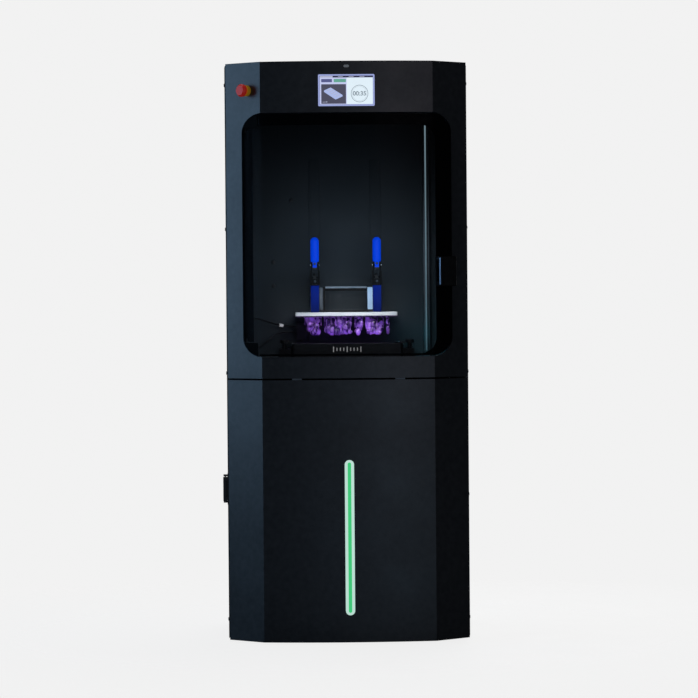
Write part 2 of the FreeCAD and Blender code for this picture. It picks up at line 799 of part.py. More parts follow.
def clamps():
    """Two toggle clamps: base, upright lever with its grip, and clamp arm."""
    bases = []
    for label, side in (("left", -1), ("right", 1)):
        x = side * dim.slot_x
        low = dim.clamp_z + 4
        foot = box((x - 11.5, x + 11.5), (-27, 24), (low, low + 3))
        cheeks = []
        for edge in (-10, 10):
            middle = x + edge
            outline = [(-30, low), (20, low), (20, 1072), (-8, 1104), (-30, 1104)]
            cheek = outline_prism(outline, middle - 1.5, middle + 1.5, "YZ_Plane", None, "cheek")
            cheeks.append(cheek)
        pins = [rod(2.5, "X", (x - 13, LEVER_Y, LEVER_Z), 26),
                rod(2.5, "X", (x - 13, ARM_Y, ARM_Z), 26)]
        bases.append(fuse(foot, *cheeks, *pins))
        blade = box((x - 6, x + 6), (LEVER_Y - 6, LEVER_Y + 6), (LEVER_Z - 11, 1172))
        lever_bore = rod(2.5 + dim.running, "X", (x - 20, LEVER_Y, LEVER_Z), 40)
        sleeve = front_tablet(x - 12.5, x + 12.5, Size(1110.5, "1110.5"), Size(1177, "1177"),
                              9, LEVER_Y - 8, LEVER_Y + 8)
        piece(f"clamp_lever_{label}", cut(fuse(blade, sleeve), lever_bore))
        arm = box((x - 5, x + 5), (ARM_Y - 9, 60), (ARM_Z - 6, ARM_Z + 6))
        spindle = rod(4, "Z", (x, 53, 1038), 32)
        tip = rod(6, "Z", (x, 53, 1029.4), 9)
        arm_bore = rod(2.5 + dim.running, "X", (x - 20, ARM_Y, ARM_Z), 40)
        piece(f"clamp_arm_{label}", cut(fuse(arm, spindle, tip), arm_bore))
    piece("clamp_bases", together(*bases))


def print_job():
    """The printed job under the plate: a row of arched frames, one sub-part."""
    blocks = []
    low = 886
    for left, right, front, back in ((-126, -72, -70, -30), (-68, 18, -80, -20),
                                     (22, 50, -74, -34), (54, 112, -70, -26),
                                     (116, 128, -66, -40)):
        blocks.append(box((left, right), (front, back), (low, dim.plate_low)))
    return piece("print_job", together(*blocks))


# ---------------------------------------------------------------------------
# The vat and what is round it
# ---------------------------------------------------------------------------
def vat_parts():
    low = dim.deck + dim.vat_lift
    frame = flat_tablet(-dim.vat_half, dim.vat_half, dim.vat_front, dim.vat_back, 10,
                        low, dim.vat_top)
    well = flat_tablet(-dim.vat_half + dim.vat_wall, dim.vat_half - dim.vat_wall,
                       dim.vat_front + 20, dim.vat_back - dim.vat_wall, 12,
                       low - 1, dim.vat_top + 1)
    piece("vat_frame", cut(rounded(frame, 2, level_edges(dim.vat_top.number)), well))
    piece("vat_film",
          flat_tablet(-dim.vat_half + dim.vat_wall + 0.1, dim.vat_half - dim.vat_wall - 0.1,
                      dim.vat_front + 20.1, dim.vat_back - dim.vat_wall - 0.1, 11.9,
                      low + 0.4, low + 1.4))
    guides = []
    for label, side in (("left", -1), ("right", 1)):
        near = side * (dim.vat_half + 0.5)
        far = side * (dim.vat_half + 34)
        guide = box((far, near) if side < 0 else (near, far), (-140, 100),
                    (dim.deck, dim.deck + 26))
        pivot = side * (dim.vat_half + 20)
        post = rod(6, "Z", (pivot, KNOB_Y, dim.deck + 26), 20)
        guides.append(fuse(rounded(guide, 2, along("Y")), post))
        knob_low = dim.vat_top + 0.3
        knob = rod(13, "Z", (pivot, KNOB_Y, knob_low), 10)
        reach = (pivot, pivot + 30) if side < 0 else (pivot - 30, pivot)
        tongue = box(reach, (KNOB_Y - 7, KNOB_Y + 7), (knob_low, knob_low + 5))
        bore = rod(6 + dim.running, "Z", (pivot, KNOB_Y, knob_low - 1), 5.5)
        piece(f"vat_lever_{label}", cut(fuse(knob, tongue), bore))
    piece("vat_guides", together(*guides))


KNOB_Y = -110


# ---------------------------------------------------------------------------
# The level sensor, the resin nozzle and their two leads
# ---------------------------------------------------------------------------
def feed_head():
    """One bracket on the back wall with the level sensor and the resin nozzle."""
    bracket = box((-147, -100), (84, dim.back_y), (886, 921))
    sensor = box((-147, -122), (84, 100), (872, 886))
    eye = rod(4, "Z", (-134, 92, 868), 4)
    spout = rod(3.5, "Z", (-110, 90, 868), 18)
    return piece("feed_head", fuse(bracket, sensor, eye, spout))


LEAD_RADIUS = 2.5
GLAND_Y = 60
LEAD_ROUTE = [(-285, 60, 938), (-264, 60, 938), (-239, 64, 929), (-209, 75, 919),
              (-175, 92, 912), (-147, 92, 912)]
TUBE_ROUTE = [(-285, 60, 850), (-263, 60, 850), (-242, 62, 862), (-224, 66, 880),
              (-202, 75, 893), (-173, 92, 896), (-147, 92, 896)]


def corner_radius(before, corner, after):
    """The arc that a lead takes at one point of its route."""
    first = corner - before
    second = after - corner
    turn = first.getAngle(second)
    return 0.45 * min(first.Length, second.Length) / math.tan(turn / 2)


def lead(label, route, radius):
    """A lead: straight runs joined by arcs, swept with a round section."""
    spots = [Vector(*spot) for spot in route]
    edges = []
    start = spots[0]
    smallest = None
    for before, corner, after in zip(spots, spots[1:], spots[2:]):
        bend = corner_radius(before, corner, after)
        smallest = bend if smallest is None else min(smallest, bend)
        inward = (before - corner).normalize()
        outward = (after - corner).normalize()
        reach = 0.45 * min((corner - before).Length, (after - corner).Length)
        enter = corner + inward * reach
        leave = corner + outward * reach
        half_turn = (corner - before).getAngle(after - corner) / 2
        middle_way = (inward + outward).normalize()
        middle = corner + middle_way * (bend / math.cos(half_turn) - bend)
        edges.append(Part.LineSegment(start, enter).toShape())
        edges.append(Part.Arc(enter, middle, leave).toShape())
        start = leave
    edges.append(Part.LineSegment(start, spots[-1]).toShape())
    path = Part.Wire(edges)
    section = Part.Wire([Part.makeCircle(radius, spots[0], spots[1] - spots[0])])
    tube = path.makePipeShell([section], True, True)
    expected = math.pi * radius ** 2 * path.Length
    print(f"{label}: smallest bend {smallest:.1f} mm, length {path.Length:.1f} mm, "
          f"volume {tube.Volume:.0f} of {expected:.0f}")
    item = fresh("Part::Feature", label)
    item.Shape = tube
    item.Placement = Placement()
    return piece(label, item)


# ---------------------------------------------------------------------------
# The light engine under the deck, and the lower cabinet
# ---------------------------------------------------------------------------
def light_engine():
    """The housing with its lamp and cooling fins, and the mask screen on top."""
    half = dim.engine_half
    deck_low = dim.deck - dim.deck_thick
    shell = box((-half, half), (dim.engine_front, dim.engine_back),
                (dim.engine_low + 60, deck_low))
    room = box((-half + 3, half - 3), (dim.engine_front + 3, dim.engine_back - 3),
               (dim.engine_low + 80, deck_low + 1))
    fins = []
    for number in range(11):
        x = -half + 15 + number * 30
        fins.append(box((x - 2, x + 2), (dim.engine_front + 10, dim.engine_back - 10),
                        (dim.engine_low, dim.engine_low + 60)))
    piece("light_engine", fuse(cut(shell, room), *fins))
    piece("lcd_mask",
          box((-149.9, 149.9), (-111.9, 71.9), (dim.deck - 5, dim.deck - 0.2)))


def cabinet_contents():
    """The resin bottle in its place, and the control box with the power supply."""
    floor = dim.frame_foot
    body = rod(70, "Z", (-150, -100, floor), 210)
    shoulder = taper(70, 22, "Z", (-150, -100, floor + 210), 40)
    neck = rod(22, "Z", (-150, -100, floor + 250), 34)
    piece("resin_bottle", fuse(body, shoulder, neck))
    cases = []
    for x, y, top in (((40, 290), (-60, 240), 330), ((-290, -60), (40, 280), 180)):
        case = rounded(box(x, y, (floor, top)), 3, along("Z"))
        room = box((x[0] + 2, x[1] - 2), (y[0] + 2, y[1] - 2), (floor - 1, top - 2))
        cases.append(cut(case, room))
    piece("control_boxes", together(*cases))


# ---------------------------------------------------------------------------
# The back: fan, power inlet and switch
# ---------------------------------------------------------------------------
def rear_parts():
    back = dim.panel_back
    z = dim.fan_z
    hub = rod(18, "Y", (0, back - 22, z), 16)
    blades = []
    for number in range(7):
        blade = box((-5, 5), (back - 20, back - 8), (16, 50), "blade")
        turned = fresh("Part::Compound", "turned_blade")
        turned.Links = [blade]
        turned.Placement = Placement(Vector(), Rotation(Vector(0, 1, 0), number * 360 / 7))
        place(turned, 0, 0, z)
        blades.append(turned)
    axle_room = rod(3 + dim.running, "Y", (0, back - 24, z), 12)
    piece("rear_fan", cut(fuse(hub, *blades), axle_room))
    frame = box((-60, 60), (back - 34, back - 3), (z - 60, z + 60))
    throat = rod(dim.fan_radius, "Y", (0, back - 40, z), 50)
    struts = [box((-54.5, 54.5), (back - 32, back - 28), (z - 4, z + 4)),
              box((-4, 4), (back - 32, back - 28), (z - 54.5, z + 54.5))]
    axle = rod(3, "Y", (0, back - 30, z), 16)
    piece("rear_fan_frame", fuse(cut(frame, throat), *struts, axle))
    x = dim.inlet_x
    low = dim.inlet_z - 15.8
    top = dim.inlet_z + 15.8
    block = box((x - 33.8, x + 33.8), (back - 30, back + 3), (low, top))
    socket_room = front_tablet(x - 30, x - 4, dim.inlet_z - 10, dim.inlet_z + 10, 4,
                               back - 16, back + 4)
    earth_pin = box((x - 18, x - 16), (back - 18, back), (dim.inlet_z + 2, dim.inlet_z + 6))
    line_pins = [box((x - 25, x - 23), (back - 18, back), (dim.inlet_z - 6, dim.inlet_z - 2)),
                 box((x - 11, x - 9), (back - 18, back), (dim.inlet_z - 6, dim.inlet_z - 2))]
    rocker_room = box((x + 6, x + 30), (back - 12, back + 4),
                      (dim.inlet_z - 11, dim.inlet_z + 11))
    rocker_pin = rod(1.5, "X", (x + 5, back - 3, dim.inlet_z), 26)
    piece("power_inlet", fuse(cut(block, socket_room, rocker_room), earth_pin,
                              *line_pins, rocker_pin))
    outline = [(back - 7, dim.inlet_z - 9), (back + 3, dim.inlet_z - 9),
               (back + 1, dim.inlet_z), (back + 5, dim.inlet_z + 9),
               (back - 7, dim.inlet_z + 9)]
    wedge = outline_prism(outline, x + 7, x + 29, "YZ_Plane", None, "rocker")
    pin_bore = rod(1.5 + dim.running, "X", (x, back - 3, dim.inlet_z), 40)
    piece("power_switch", cut(wedge, pin_bore))


def build_all():
    base_plate()
    levelling_feet()
    frame_tubes()
    left = piece("left_side_panel", side_panel())
    piece("right_side_panel", mirrored(left))
    rear_panel()
    top_cover()
    upper_front_shell()
    display_parts()
    stop_parts()
    lower_door()
    hinge_brackets()
    light_bar()
    door_latch()
    catch_strikers()
    window_pane()
    window_pull()
    chamber_walls()
    light_column()
    vertical_axis()
    z_carriage()
    build_platform()
    vat_parts()
    feed_head()
    lead("sensor_lead", LEAD_ROUTE, LEAD_RADIUS)
    lead("resin_tube", TUBE_ROUTE, LEAD_RADIUS)
    light_engine()
    cabinet_contents()
    rear_parts()


def check_and_write():
    doc.recompute()
    faults = []
    for item in doc.Objects:
        if any(word in item.State for word in ("Invalid", "Error")):
            faults.append(f"{item.Name}: {item.State}")
    for item in pieces:
        if item.Shape.isNull() or not item.Shape.isValid():
            faults.append(f"{item.Label}: no valid shape")
    if faults:
        raise RuntimeError("; ".join(faults))
    os.makedirs("parts", exist_ok=True)
    for item in pieces:
        item.Shape.exportStep(f"parts/{item.Label}.step")
    print(f"{len(pieces)} sub-parts written")


build_all()
check_and_write()
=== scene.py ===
import json
import math
import random

import bmesh
import bpy
from mathutils import Matrix, Vector


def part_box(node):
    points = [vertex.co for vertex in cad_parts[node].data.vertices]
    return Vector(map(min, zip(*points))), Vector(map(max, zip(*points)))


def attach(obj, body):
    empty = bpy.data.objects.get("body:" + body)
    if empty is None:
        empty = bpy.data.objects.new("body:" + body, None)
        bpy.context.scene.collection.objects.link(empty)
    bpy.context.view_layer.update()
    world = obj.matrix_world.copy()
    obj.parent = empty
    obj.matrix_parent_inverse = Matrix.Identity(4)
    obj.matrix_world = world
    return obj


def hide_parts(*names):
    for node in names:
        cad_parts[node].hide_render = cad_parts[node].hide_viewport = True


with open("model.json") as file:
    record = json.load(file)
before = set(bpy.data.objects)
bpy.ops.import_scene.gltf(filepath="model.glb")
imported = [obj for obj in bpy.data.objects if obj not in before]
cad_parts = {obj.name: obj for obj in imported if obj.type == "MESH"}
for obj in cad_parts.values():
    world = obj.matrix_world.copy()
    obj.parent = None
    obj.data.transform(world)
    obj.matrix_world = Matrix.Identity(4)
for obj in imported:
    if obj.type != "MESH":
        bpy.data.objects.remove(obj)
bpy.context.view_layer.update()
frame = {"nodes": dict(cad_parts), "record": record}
random.seed(7)

MM = 0.001

# Places that the pieces below share, all read from the frame.
SHELL_LOW, SHELL_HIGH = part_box("upper_front_shell")
PANE_LOW, PANE_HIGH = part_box("window_pane")
BEZEL_LOW, BEZEL_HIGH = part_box("display_bezel")
DECK_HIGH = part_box("deck_plate")[1].z
BACK_WALL_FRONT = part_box("chamber_back_wall")[0].y
WALL_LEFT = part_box("chamber_left_wall")[1].x
PLATE_LOW, PLATE_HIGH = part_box("build_plate")
VAT_LOW, VAT_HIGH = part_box("vat_frame")
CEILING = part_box("chamber_ceiling")[0].z
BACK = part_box("rear_panel")[1].y

# Places of the pivots and screws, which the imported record's joints give.
JOINTS = {joint["name"]: joint for joint in frame["record"]["behaviour"]["joints"]}
LEVER_PIVOT = Vector(JOINTS["right_clamp_lever"]["pos_m"])
ARM_PIVOT = Vector(JOINTS["right_clamp_arm"]["pos_m"])
SCREW_CENTRE = Vector(JOINTS["right_screw_turn"]["pos_m"])

# The two slots in the back wall, which the platform's arms pass through.
SLOT_HALF_WIDTH = 0.0166
SLOT_LOW = 0.9385
SLOT_HIGH = 1.4115


# ---------------------------------------------------------------------------
# Materials
# ---------------------------------------------------------------------------
class Paint:
    """A node material being built: a Principled shader and helpers round it."""

    def __init__(self, name):
        self.material = bpy.data.materials.new(name)
        self.material.use_nodes = True
        self.tree = self.material.node_tree
        self.shader = self.tree.nodes["Principled BSDF"]
        self.place = self.tree.nodes.new("ShaderNodeTexCoord").outputs["Object"]

    def add(self, kind, **inputs):
        """Adds a node and sets its inputs."""
        node = self.tree.nodes.new(kind)
        for key, value in inputs.items():
            node.inputs[key].default_value = value
        return node

    def link(self, source, target):
        """Joins an output to an input."""
        self.tree.links.new(source, target)

    def stretched(self, scale):
        """Object coordinates scaled by axis, for grain that runs one way."""
        node = self.add("ShaderNodeMapping")
        node.inputs["Scale"].default_value = scale
        self.link(self.place, node.inputs["Vector"])
        return node.outputs["Vector"]

    def noise(self, scale, detail=3.0, place=None, rough=0.5):
        """Noise over the object's own coordinates, unless a place is given."""
        node = self.add("ShaderNodeTexNoise", Scale=scale, Detail=detail, Roughness=rough)
        self.link(place or self.place, node.inputs["Vector"])
        return node.outputs["Fac"]

    def mixed(self, factor, low, high):
        """A colour that runs between two colours with a factor."""
        node = self.tree.nodes.new("ShaderNodeMix")
        node.data_type = "RGBA"
        self.link(factor, node.inputs["Factor"])
        for socket, value in (("A", low), ("B", high)):
            target = [s for s in node.inputs if s.name == socket and s.type == "RGBA"][0]
            if isinstance(value, tuple):
                target.default_value = (*value, 1)
            else:
                self.link(value, target)
        return [s for s in node.outputs if s.type == "RGBA"][0]

    def ranged(self, source, low, high, from_low=0.3, from_high=0.7):
        """Maps a value to the range from low to high."""
        node = self.tree.nodes.new("ShaderNodeMapRange")
        node.inputs["From Min"].default_value = from_low
        node.inputs["From Max"].default_value = from_high
        node.inputs["To Min"].default_value = low
        node.inputs["To Max"].default_value = high
        self.link(source, node.inputs["Value"])
        return node.outputs["Result"]

    def bump(self, height, strength, distance):
        """Raises the surface by a height."""
        node = self.add("ShaderNodeBump", Strength=strength, Distance=distance)
        self.link(height, node.inputs["Height"])
        self.link(node.outputs["Normal"], self.shader.inputs["Normal"])

    def edges(self, low=0.52, high=0.6):
        """How sharp the surface is here, for wear along edges."""
        node = self.tree.nodes.new("ShaderNodeNewGeometry")
        return self.ranged(node.outputs["Pointiness"], 0, 1, low, high)


def shade(colour, factor):
    """A colour made darker or lighter by a factor."""
    return tuple(min(1.0, channel * factor) for channel in colour)


def coated(name, colour, rough, grain=900, depth=0.12, worn=None, metal=0.0, coat=0.0,
           lit=0.0, gloss=0.5):
    """Powder coat or moulded plastic: mottled colour, fine grain, worn edges; lit adds a glow from
    emission, which is a painted glow on parts that are no lamp.
    """
    paint = Paint(name)
    shader = paint.shader
    patches = paint.noise(5, 2)
    hue = paint.mixed(patches, shade(colour, 0.92), shade(colour, 1.08))
    if worn:
        specks = paint.noise(60, 5)
        edge = paint.tree.nodes.new("ShaderNodeMath")
        edge.operation = "MULTIPLY"
        paint.link(paint.edges(), edge.inputs[0])
        paint.link(specks, edge.inputs[1])
        hue = paint.mixed(edge.outputs["Value"], hue, worn)
    paint.link(hue, shader.inputs["Base Color"])
    smudges = paint.noise(7, 2)
    paint.link(paint.ranged(smudges, rough - 0.03, rough + 0.04), shader.inputs["Roughness"])
    paint.bump(paint.noise(grain, 2), depth, 0.0004)
    shader.inputs["Metallic"].default_value = metal
    shader.inputs["Coat Weight"].default_value = coat
    shader.inputs["Coat Roughness"].default_value = 0.12
    shader.inputs["Specular IOR Level"].default_value = gloss
    # lit: emission in the paint's own colour, a painted glow on parts that are no lamp.
    if lit:
        paint.link(hue, shader.inputs["Emission Color"])
        shader.inputs["Emission Strength"].default_value = lit
    return paint.material


def brushed(name, colour, rough, along="x", metal=1.0, depth=0.15):
    """Metal with a grain that runs along one axis and faint handling marks."""
    paint = Paint(name)
    shader = paint.shader
    scale = [260.0, 260.0, 260.0]
    scale["xyz".index(along)] = 6.0
    grain = paint.noise(1, 3, paint.stretched(scale))
    paint.link(paint.mixed(grain, shade(colour, 0.84), shade(colour, 1.12)),
               shader.inputs["Base Color"])
    paint.link(paint.ranged(paint.noise(9, 3), rough - 0.06, rough + 0.08),
               shader.inputs["Roughness"])
    paint.bump(grain, depth, 0.0003)
    shader.inputs["Metallic"].default_value = metal
    return paint.material


def glow(name, colour, strength, base=None):
    """A lit diffuser: a faint mottle under its own light."""
    paint = Paint(name)
    shader = paint.shader
    paint.link(paint.mixed(paint.noise(40, 2), shade(base or colour, 0.92), base or colour),
               shader.inputs["Base Color"])
    paint.link(paint.mixed(paint.noise(25, 2), shade(colour, 0.93), colour),
               shader.inputs["Emission Color"])
    paint.link(paint.ranged(paint.noise(30, 2), 0.35, 0.5), shader.inputs["Roughness"])
    shader.inputs["Emission Strength"].default_value = strength
    return paint.material


def smoke_glass():
    """The window: thin dark acrylic with faint wipe marks in its gloss."""
    paint = Paint("smoke_glass")
    shader = paint.shader
    paint.link(paint.mixed(paint.noise(3, 2), (0.004, 0.005, 0.007), (0.008, 0.010, 0.013)),
               shader.inputs["Base Color"])
    wipes = paint.noise(1, 4, paint.stretched((3.0, 3.0, 22.0)))
    paint.link(paint.ranged(wipes, 0.03, 0.11), shader.inputs["Roughness"])
    shader.inputs["Alpha"].default_value = 0.22
    shader.inputs["Specular IOR Level"].default_value = 0.025
    return paint.material


def clear_film():
    """The vat's see-through release film."""
    paint = Paint("clear_film")
    shader = paint.shader
    paint.link(paint.mixed(paint.noise(20, 2), (0.30, 0.30, 0.34), (0.36, 0.36, 0.42)),
               shader.inputs["Base Color"])
    paint.link(paint.ranged(paint.noise(30, 2), 0.08, 0.18), shader.inputs["Roughness"])
    shader.inputs["Alpha"].default_value = 0.5
    return paint.material


def wet_resin():
    """Cured resin fresh from the vat: translucent purple with a wet gloss, painted lilac highlights
    in its colour, and a painted glow from emission.
    """
    paint = Paint("wet_resin")
    shader = paint.shader
    layers = paint.noise(1, 2, paint.stretched((30.0, 30.0, 900.0)))
    highlight_noise = paint.noise(1, 3, paint.stretched((62.0, 62.0, 20.0)))
    painted_highlights = paint.ranged(highlight_noise, 0.0, 1.0, 0.40, 0.60)
    # Base and emission colours run from dark purple to lilac painted highlights.
    paint.link(paint.mixed(painted_highlights, (0.03, 0.008, 0.10), (0.52, 0.25, 0.92)),
               shader.inputs["Base Color"])
    paint.link(paint.mixed(painted_highlights, (0.004, 0.001, 0.02), (0.34, 0.15, 0.68)),
               shader.inputs["Emission Color"])
    paint.link(paint.ranged(painted_highlights, 0.24, 0.36, 0, 1), shader.inputs["Roughness"])
    paint.bump(layers, 0.35, 0.0006)
    # A painted glow: the prints are no lamp.
    shader.inputs["Emission Strength"].default_value = 0.30
    shader.inputs["Subsurface Weight"].default_value = 0.25
    shader.inputs["Subsurface Radius"].default_value = (0.006, 0.003, 0.01)
    shader.inputs["Coat Weight"].default_value = 0.15
    shader.inputs["Coat Roughness"].default_value = 0.2
    return paint.material


def stained_plate(stain_height):
    """A bright ground plate whose lowest edge carries dark resin stains."""
    paint = Paint("stained_plate")
    shader = paint.shader
    grain = paint.noise(1, 3, paint.stretched((8.0, 260.0, 260.0)))
    bright = paint.mixed(grain, (0.74, 0.75, 0.78), (0.92, 0.93, 0.95))
    split = paint.tree.nodes.new("ShaderNodeSeparateXYZ")
    paint.link(paint.place, split.inputs["Vector"])
    clean = paint.ranged(split.outputs["Z"], 0.0, 1.0, stain_height, stain_height + 0.0008)
    stain = paint.mixed(paint.noise(90, 3), (0.03, 0.012, 0.07), (0.10, 0.05, 0.16))
    paint.link(paint.mixed(clean, stain, bright), shader.inputs["Base Color"])
    paint.link(paint.ranged(paint.noise(20, 3), 0.34, 0.46), shader.inputs["Roughness"])
    paint.bump(grain, 0.12, 0.0003)
    shader.inputs["Metallic"].default_value = 0.2
    return paint.material


def anodised_with_painted_shade(name, colour, low, high):
    """Dyed aluminium darkened towards its foot by painted shade, with a painted glow from emission.
    """
    paint = Paint(name)
    shader = paint.shader
    split = paint.tree.nodes.new("ShaderNodeSeparateXYZ")
    paint.link(paint.place, split.inputs["Vector"])
    rise = paint.ranged(split.outputs["Z"], 0.0, 1.0, low, high)
    grain = paint.noise(1, 3, paint.stretched((300.0, 300.0, 8.0)))
    dyed = paint.mixed(grain, shade(colour, 0.85), shade(colour, 1.15))
    # Painted shade: the dyed colour darkens towards the foot.
    hue = paint.mixed(rise, shade(colour, 0.22), dyed)
    paint.link(hue, shader.inputs["Base Color"])
    # Emission in the same colour: a painted glow, as the bars are no lamp.
    paint.link(hue, shader.inputs["Emission Color"])
    paint.link(paint.ranged(paint.noise(30, 3), 0.40, 0.50), shader.inputs["Roughness"])
    paint.bump(grain, 0.08, 0.0003)
    shader.inputs["Emission Strength"].default_value = 0.25
    shader.inputs["Specular IOR Level"].default_value = 0.05
    return paint.material


def fading_light(name, colour, low, high, dim_strength, bright_strength):
    """A long light whose brightness falls from its top to its foot."""
    paint = Paint(name)
    shader = paint.shader
    split = paint.tree.nodes.new("ShaderNodeSeparateXYZ")
    paint.link(paint.place, split.inputs["Vector"])
    rise = paint.ranged(split.outputs["Z"], 0.0, 1.0, low, high)
    paint.link(paint.mixed(rise, shade(colour, dim_strength), colour),
               shader.inputs["Emission Color"])
    paint.link(paint.mixed(paint.noise(30, 2), shade(colour, 0.5), shade(colour, 0.6)),
               shader.inputs["Base Color"])
    paint.link(paint.ranged(paint.noise(30, 2), 0.35, 0.5), shader.inputs["Roughness"])
    shader.inputs["Emission Strength"].default_value = bright_strength
    return paint.material


def dipped_grip_painted_glow(split_height):
    """A steel lever whose upper part is dipped in blue vinyl, which also carries a painted glow from
    emission.
    """
    paint = Paint("dipped_grip_painted_glow")
    shader = paint.shader
    split = paint.tree.nodes.new("ShaderNodeSeparateXYZ")
    paint.link(paint.place, split.inputs["Vector"])
    vinyl = paint.ranged(split.outputs["Z"], 0.0, 1.0, split_height, split_height + 0.0004)
    blue = paint.mixed(paint.noise(30, 3), (0.0, 0.045, 0.85), (0.0, 0.075, 1.0))
    steel = paint.mixed(paint.noise(120, 3), (0.05, 0.05, 0.055), (0.10, 0.10, 0.11))
    paint.link(paint.mixed(vinyl, steel, blue), shader.inputs["Base Color"])
    black = paint.mixed(paint.noise(20, 1), (0.0, 0.0, 0.0), (0.001, 0.001, 0.001))
    # The vinyl's emission colour: a painted glow, as the grip is no lamp.
    lit = paint.mixed(paint.noise(18, 2), (0.0, 0.06, 0.85), (0.0, 0.09, 1.0))
    paint.link(paint.mixed(vinyl, black, lit), shader.inputs["Emission Color"])
    paint.link(paint.ranged(paint.noise(40, 3), 0.32, 0.45), shader.inputs["Roughness"])
    paint.bump(paint.noise(500, 2), 0.1, 0.0003)
    shader.inputs["Specular IOR Level"].default_value = 0.12
    shader.inputs["Emission Strength"].default_value = 0.55
    return paint.material


SHELL = coated("shell_coat", (0.012, 0.014, 0.018), 0.34, 1400, 0.04, (0.06, 0.065, 0.07))
PANEL = coated("panel_coat", (0.030, 0.034, 0.040), 0.42, 700, 0.25, (0.07, 0.075, 0.08))
STEEL_BLACK = coated("black_steel", (0.020, 0.020, 0.022), 0.5, 500, 0.2, (0.12, 0.12, 0.12))
CHAMBER = coated("chamber_coat", (0.024, 0.034, 0.042), 0.6, 900, 0.10)
BLACK_PLASTIC = coated("black_plastic", (0.010, 0.010, 0.012), 0.42, 800, 0.18, (0.03, 0.03, 0.03))
RUBBER = coated("rubber", (0.014, 0.014, 0.015), 0.65, 400, 0.3)
# Near-black frit; on the window's border it also serves as painted shade.
FRIT = coated("window_border", (0.0010, 0.0010, 0.0014), 0.6, 900, 0.05, gloss=0.04)
BEZEL = coated("bezel", (0.40, 0.46, 0.82), 0.3, 900, 0.05, lit=0.75)
PLATE = stained_plate(PLATE_LOW.z + 0.0026)
CLAMP_BLACK = coated("clamp_black", (0.005, 0.005, 0.006), 0.5, 600, 0.1, (0.03, 0.03, 0.03),
                     gloss=0.12)
# Light blue: a painted sheen that stands in for the left softbox's blue light on faces turned
# towards it.
BLUE_SHEEN = brushed("painted_blue_sheen", (0.42, 0.58, 0.80), 0.34, "z", 0.3)
RAIL = brushed("ground_steel", (0.50, 0.51, 0.53), 0.22, "z")
DARK_METAL = brushed("dark_metal", (0.10, 0.11, 0.12), 0.38, "x")
SATIN = brushed("satin_aluminium", (0.20, 0.24, 0.29), 0.38, "x", 0.3)
# Darker aluminium, used for bolts and, as painted shade, for the frame's left face.
DULL = brushed("dull_aluminium", (0.06, 0.075, 0.095), 0.4, "z", 0.3)
CHROME = brushed("chrome", (0.75, 0.76, 0.78), 0.14, "x", depth=0.03)
# Hanger bars: navy with painted shade towards the plate and a painted glow.
NAVY_PAINTED_SHADE = anodised_with_painted_shade("navy_anodised_painted_shade", (0.0, 0.020, 0.30), PLATE_HIGH.z - 0.01, PLATE_HIGH.z + 0.08)
# The stop button's red head, its yellow collar and the white marks glow from emission: a painted
# glow, as none of them is a lamp.
RED = coated("stop_red", (0.85, 0.030, 0.020), 0.42, 700, 0.04, lit=0.16)
YELLOW = coated("stop_yellow", (0.80, 0.42, 0.02), 0.42, 700, 0.05, lit=0.10)
WHITE_MARK = coated("white_mark", (0.80, 0.80, 0.82), 0.4, 700, 0.05, lit=0.35)
RESIN = wet_resin()
LIQUID = coated("liquid_resin", (0.16, 0.05, 0.36), 0.08, 60, 0.02, coat=0.8)
BAR_WHITE = glow("bar_white", (0.58, 0.84, 0.74), 0.85, (0.45, 0.5, 0.48))
BAR_GREEN = glow("bar_green", (0.045, 0.56, 0.18), 1.0, (0.05, 0.3, 0.12))

NODE_MATERIALS = {
    "upper_front_shell": SHELL, "lower_door": SHELL,
    "left_side_panel": PANEL, "right_side_panel": PANEL, "top_cover": PANEL,
    "rear_panel": PANEL, "base_plate": STEEL_BLACK, "frame_tubes": STEEL_BLACK,
    "hinge_brackets": STEEL_BLACK, "light_engine": DARK_METAL, "rear_fan_frame": BLACK_PLASTIC,
    "levelling_feet": RUBBER, "display_bezel": BEZEL,
    "status_lens": glow("status_glow", (0.42, 0.45, 0.47), 0.12),
    "estop_collar": YELLOW, "estop_shaft": RAIL, "estop_head": RED,
    "catch_strikers": DARK_METAL, "deck_plate": CHAMBER, "chamber_ceiling": CHAMBER,
    "chamber_left_wall": CHAMBER, "chamber_right_wall": CHAMBER, "chamber_back_wall": CHAMBER,
    "light_column": DARK_METAL, "z_spine": CHAMBER, "platform_frame": CLAMP_BLACK,
    "z_carriage": STEEL_BLACK, "light_bar_diffuser": BAR_WHITE, "light_bar_core": BAR_GREEN,
    "z_rails": RAIL, "screw_left": RAIL, "screw_right": RAIL, "z_motor": BLACK_PLASTIC,
    "rear_fan": BLACK_PLASTIC, "latch_plate": BLACK_PLASTIC, "latch_paddle": BLACK_PLASTIC,
    "window_pull": CLAMP_BLACK, "clamp_bases": CLAMP_BLACK, "window_pane": smoke_glass(),
    "build_plate": PLATE, "hanger_bars": NAVY_PAINTED_SHADE, "clamp_arm_left": STEEL_BLACK,
    "clamp_arm_right": STEEL_BLACK, "vat_frame": coated(
        "vat_anodised", (0.028, 0.029, 0.032), 0.36, 700, 0.12, (0.09, 0.09, 0.09), 0.5),
    "vat_film": clear_film(), "vat_guides": BLACK_PLASTIC, "vat_lever_left": BLACK_PLASTIC,
    "vat_lever_right": BLACK_PLASTIC, "feed_head": BLACK_PLASTIC,
    "lcd_mask": coated("mask_glass", (0.01, 0.01, 0.016), 0.08, 500, 0.02, coat=0.5),
    "resin_bottle": coated("bottle_plastic", (0.55, 0.55, 0.52), 0.38, 600, 0.08),
    "control_boxes": coated("box_coat", (0.30, 0.31, 0.33), 0.42, 700, 0.15, (0.5, 0.5, 0.5)),
    "power_inlet": BLACK_PLASTIC, "power_switch": BLACK_PLASTIC,
}


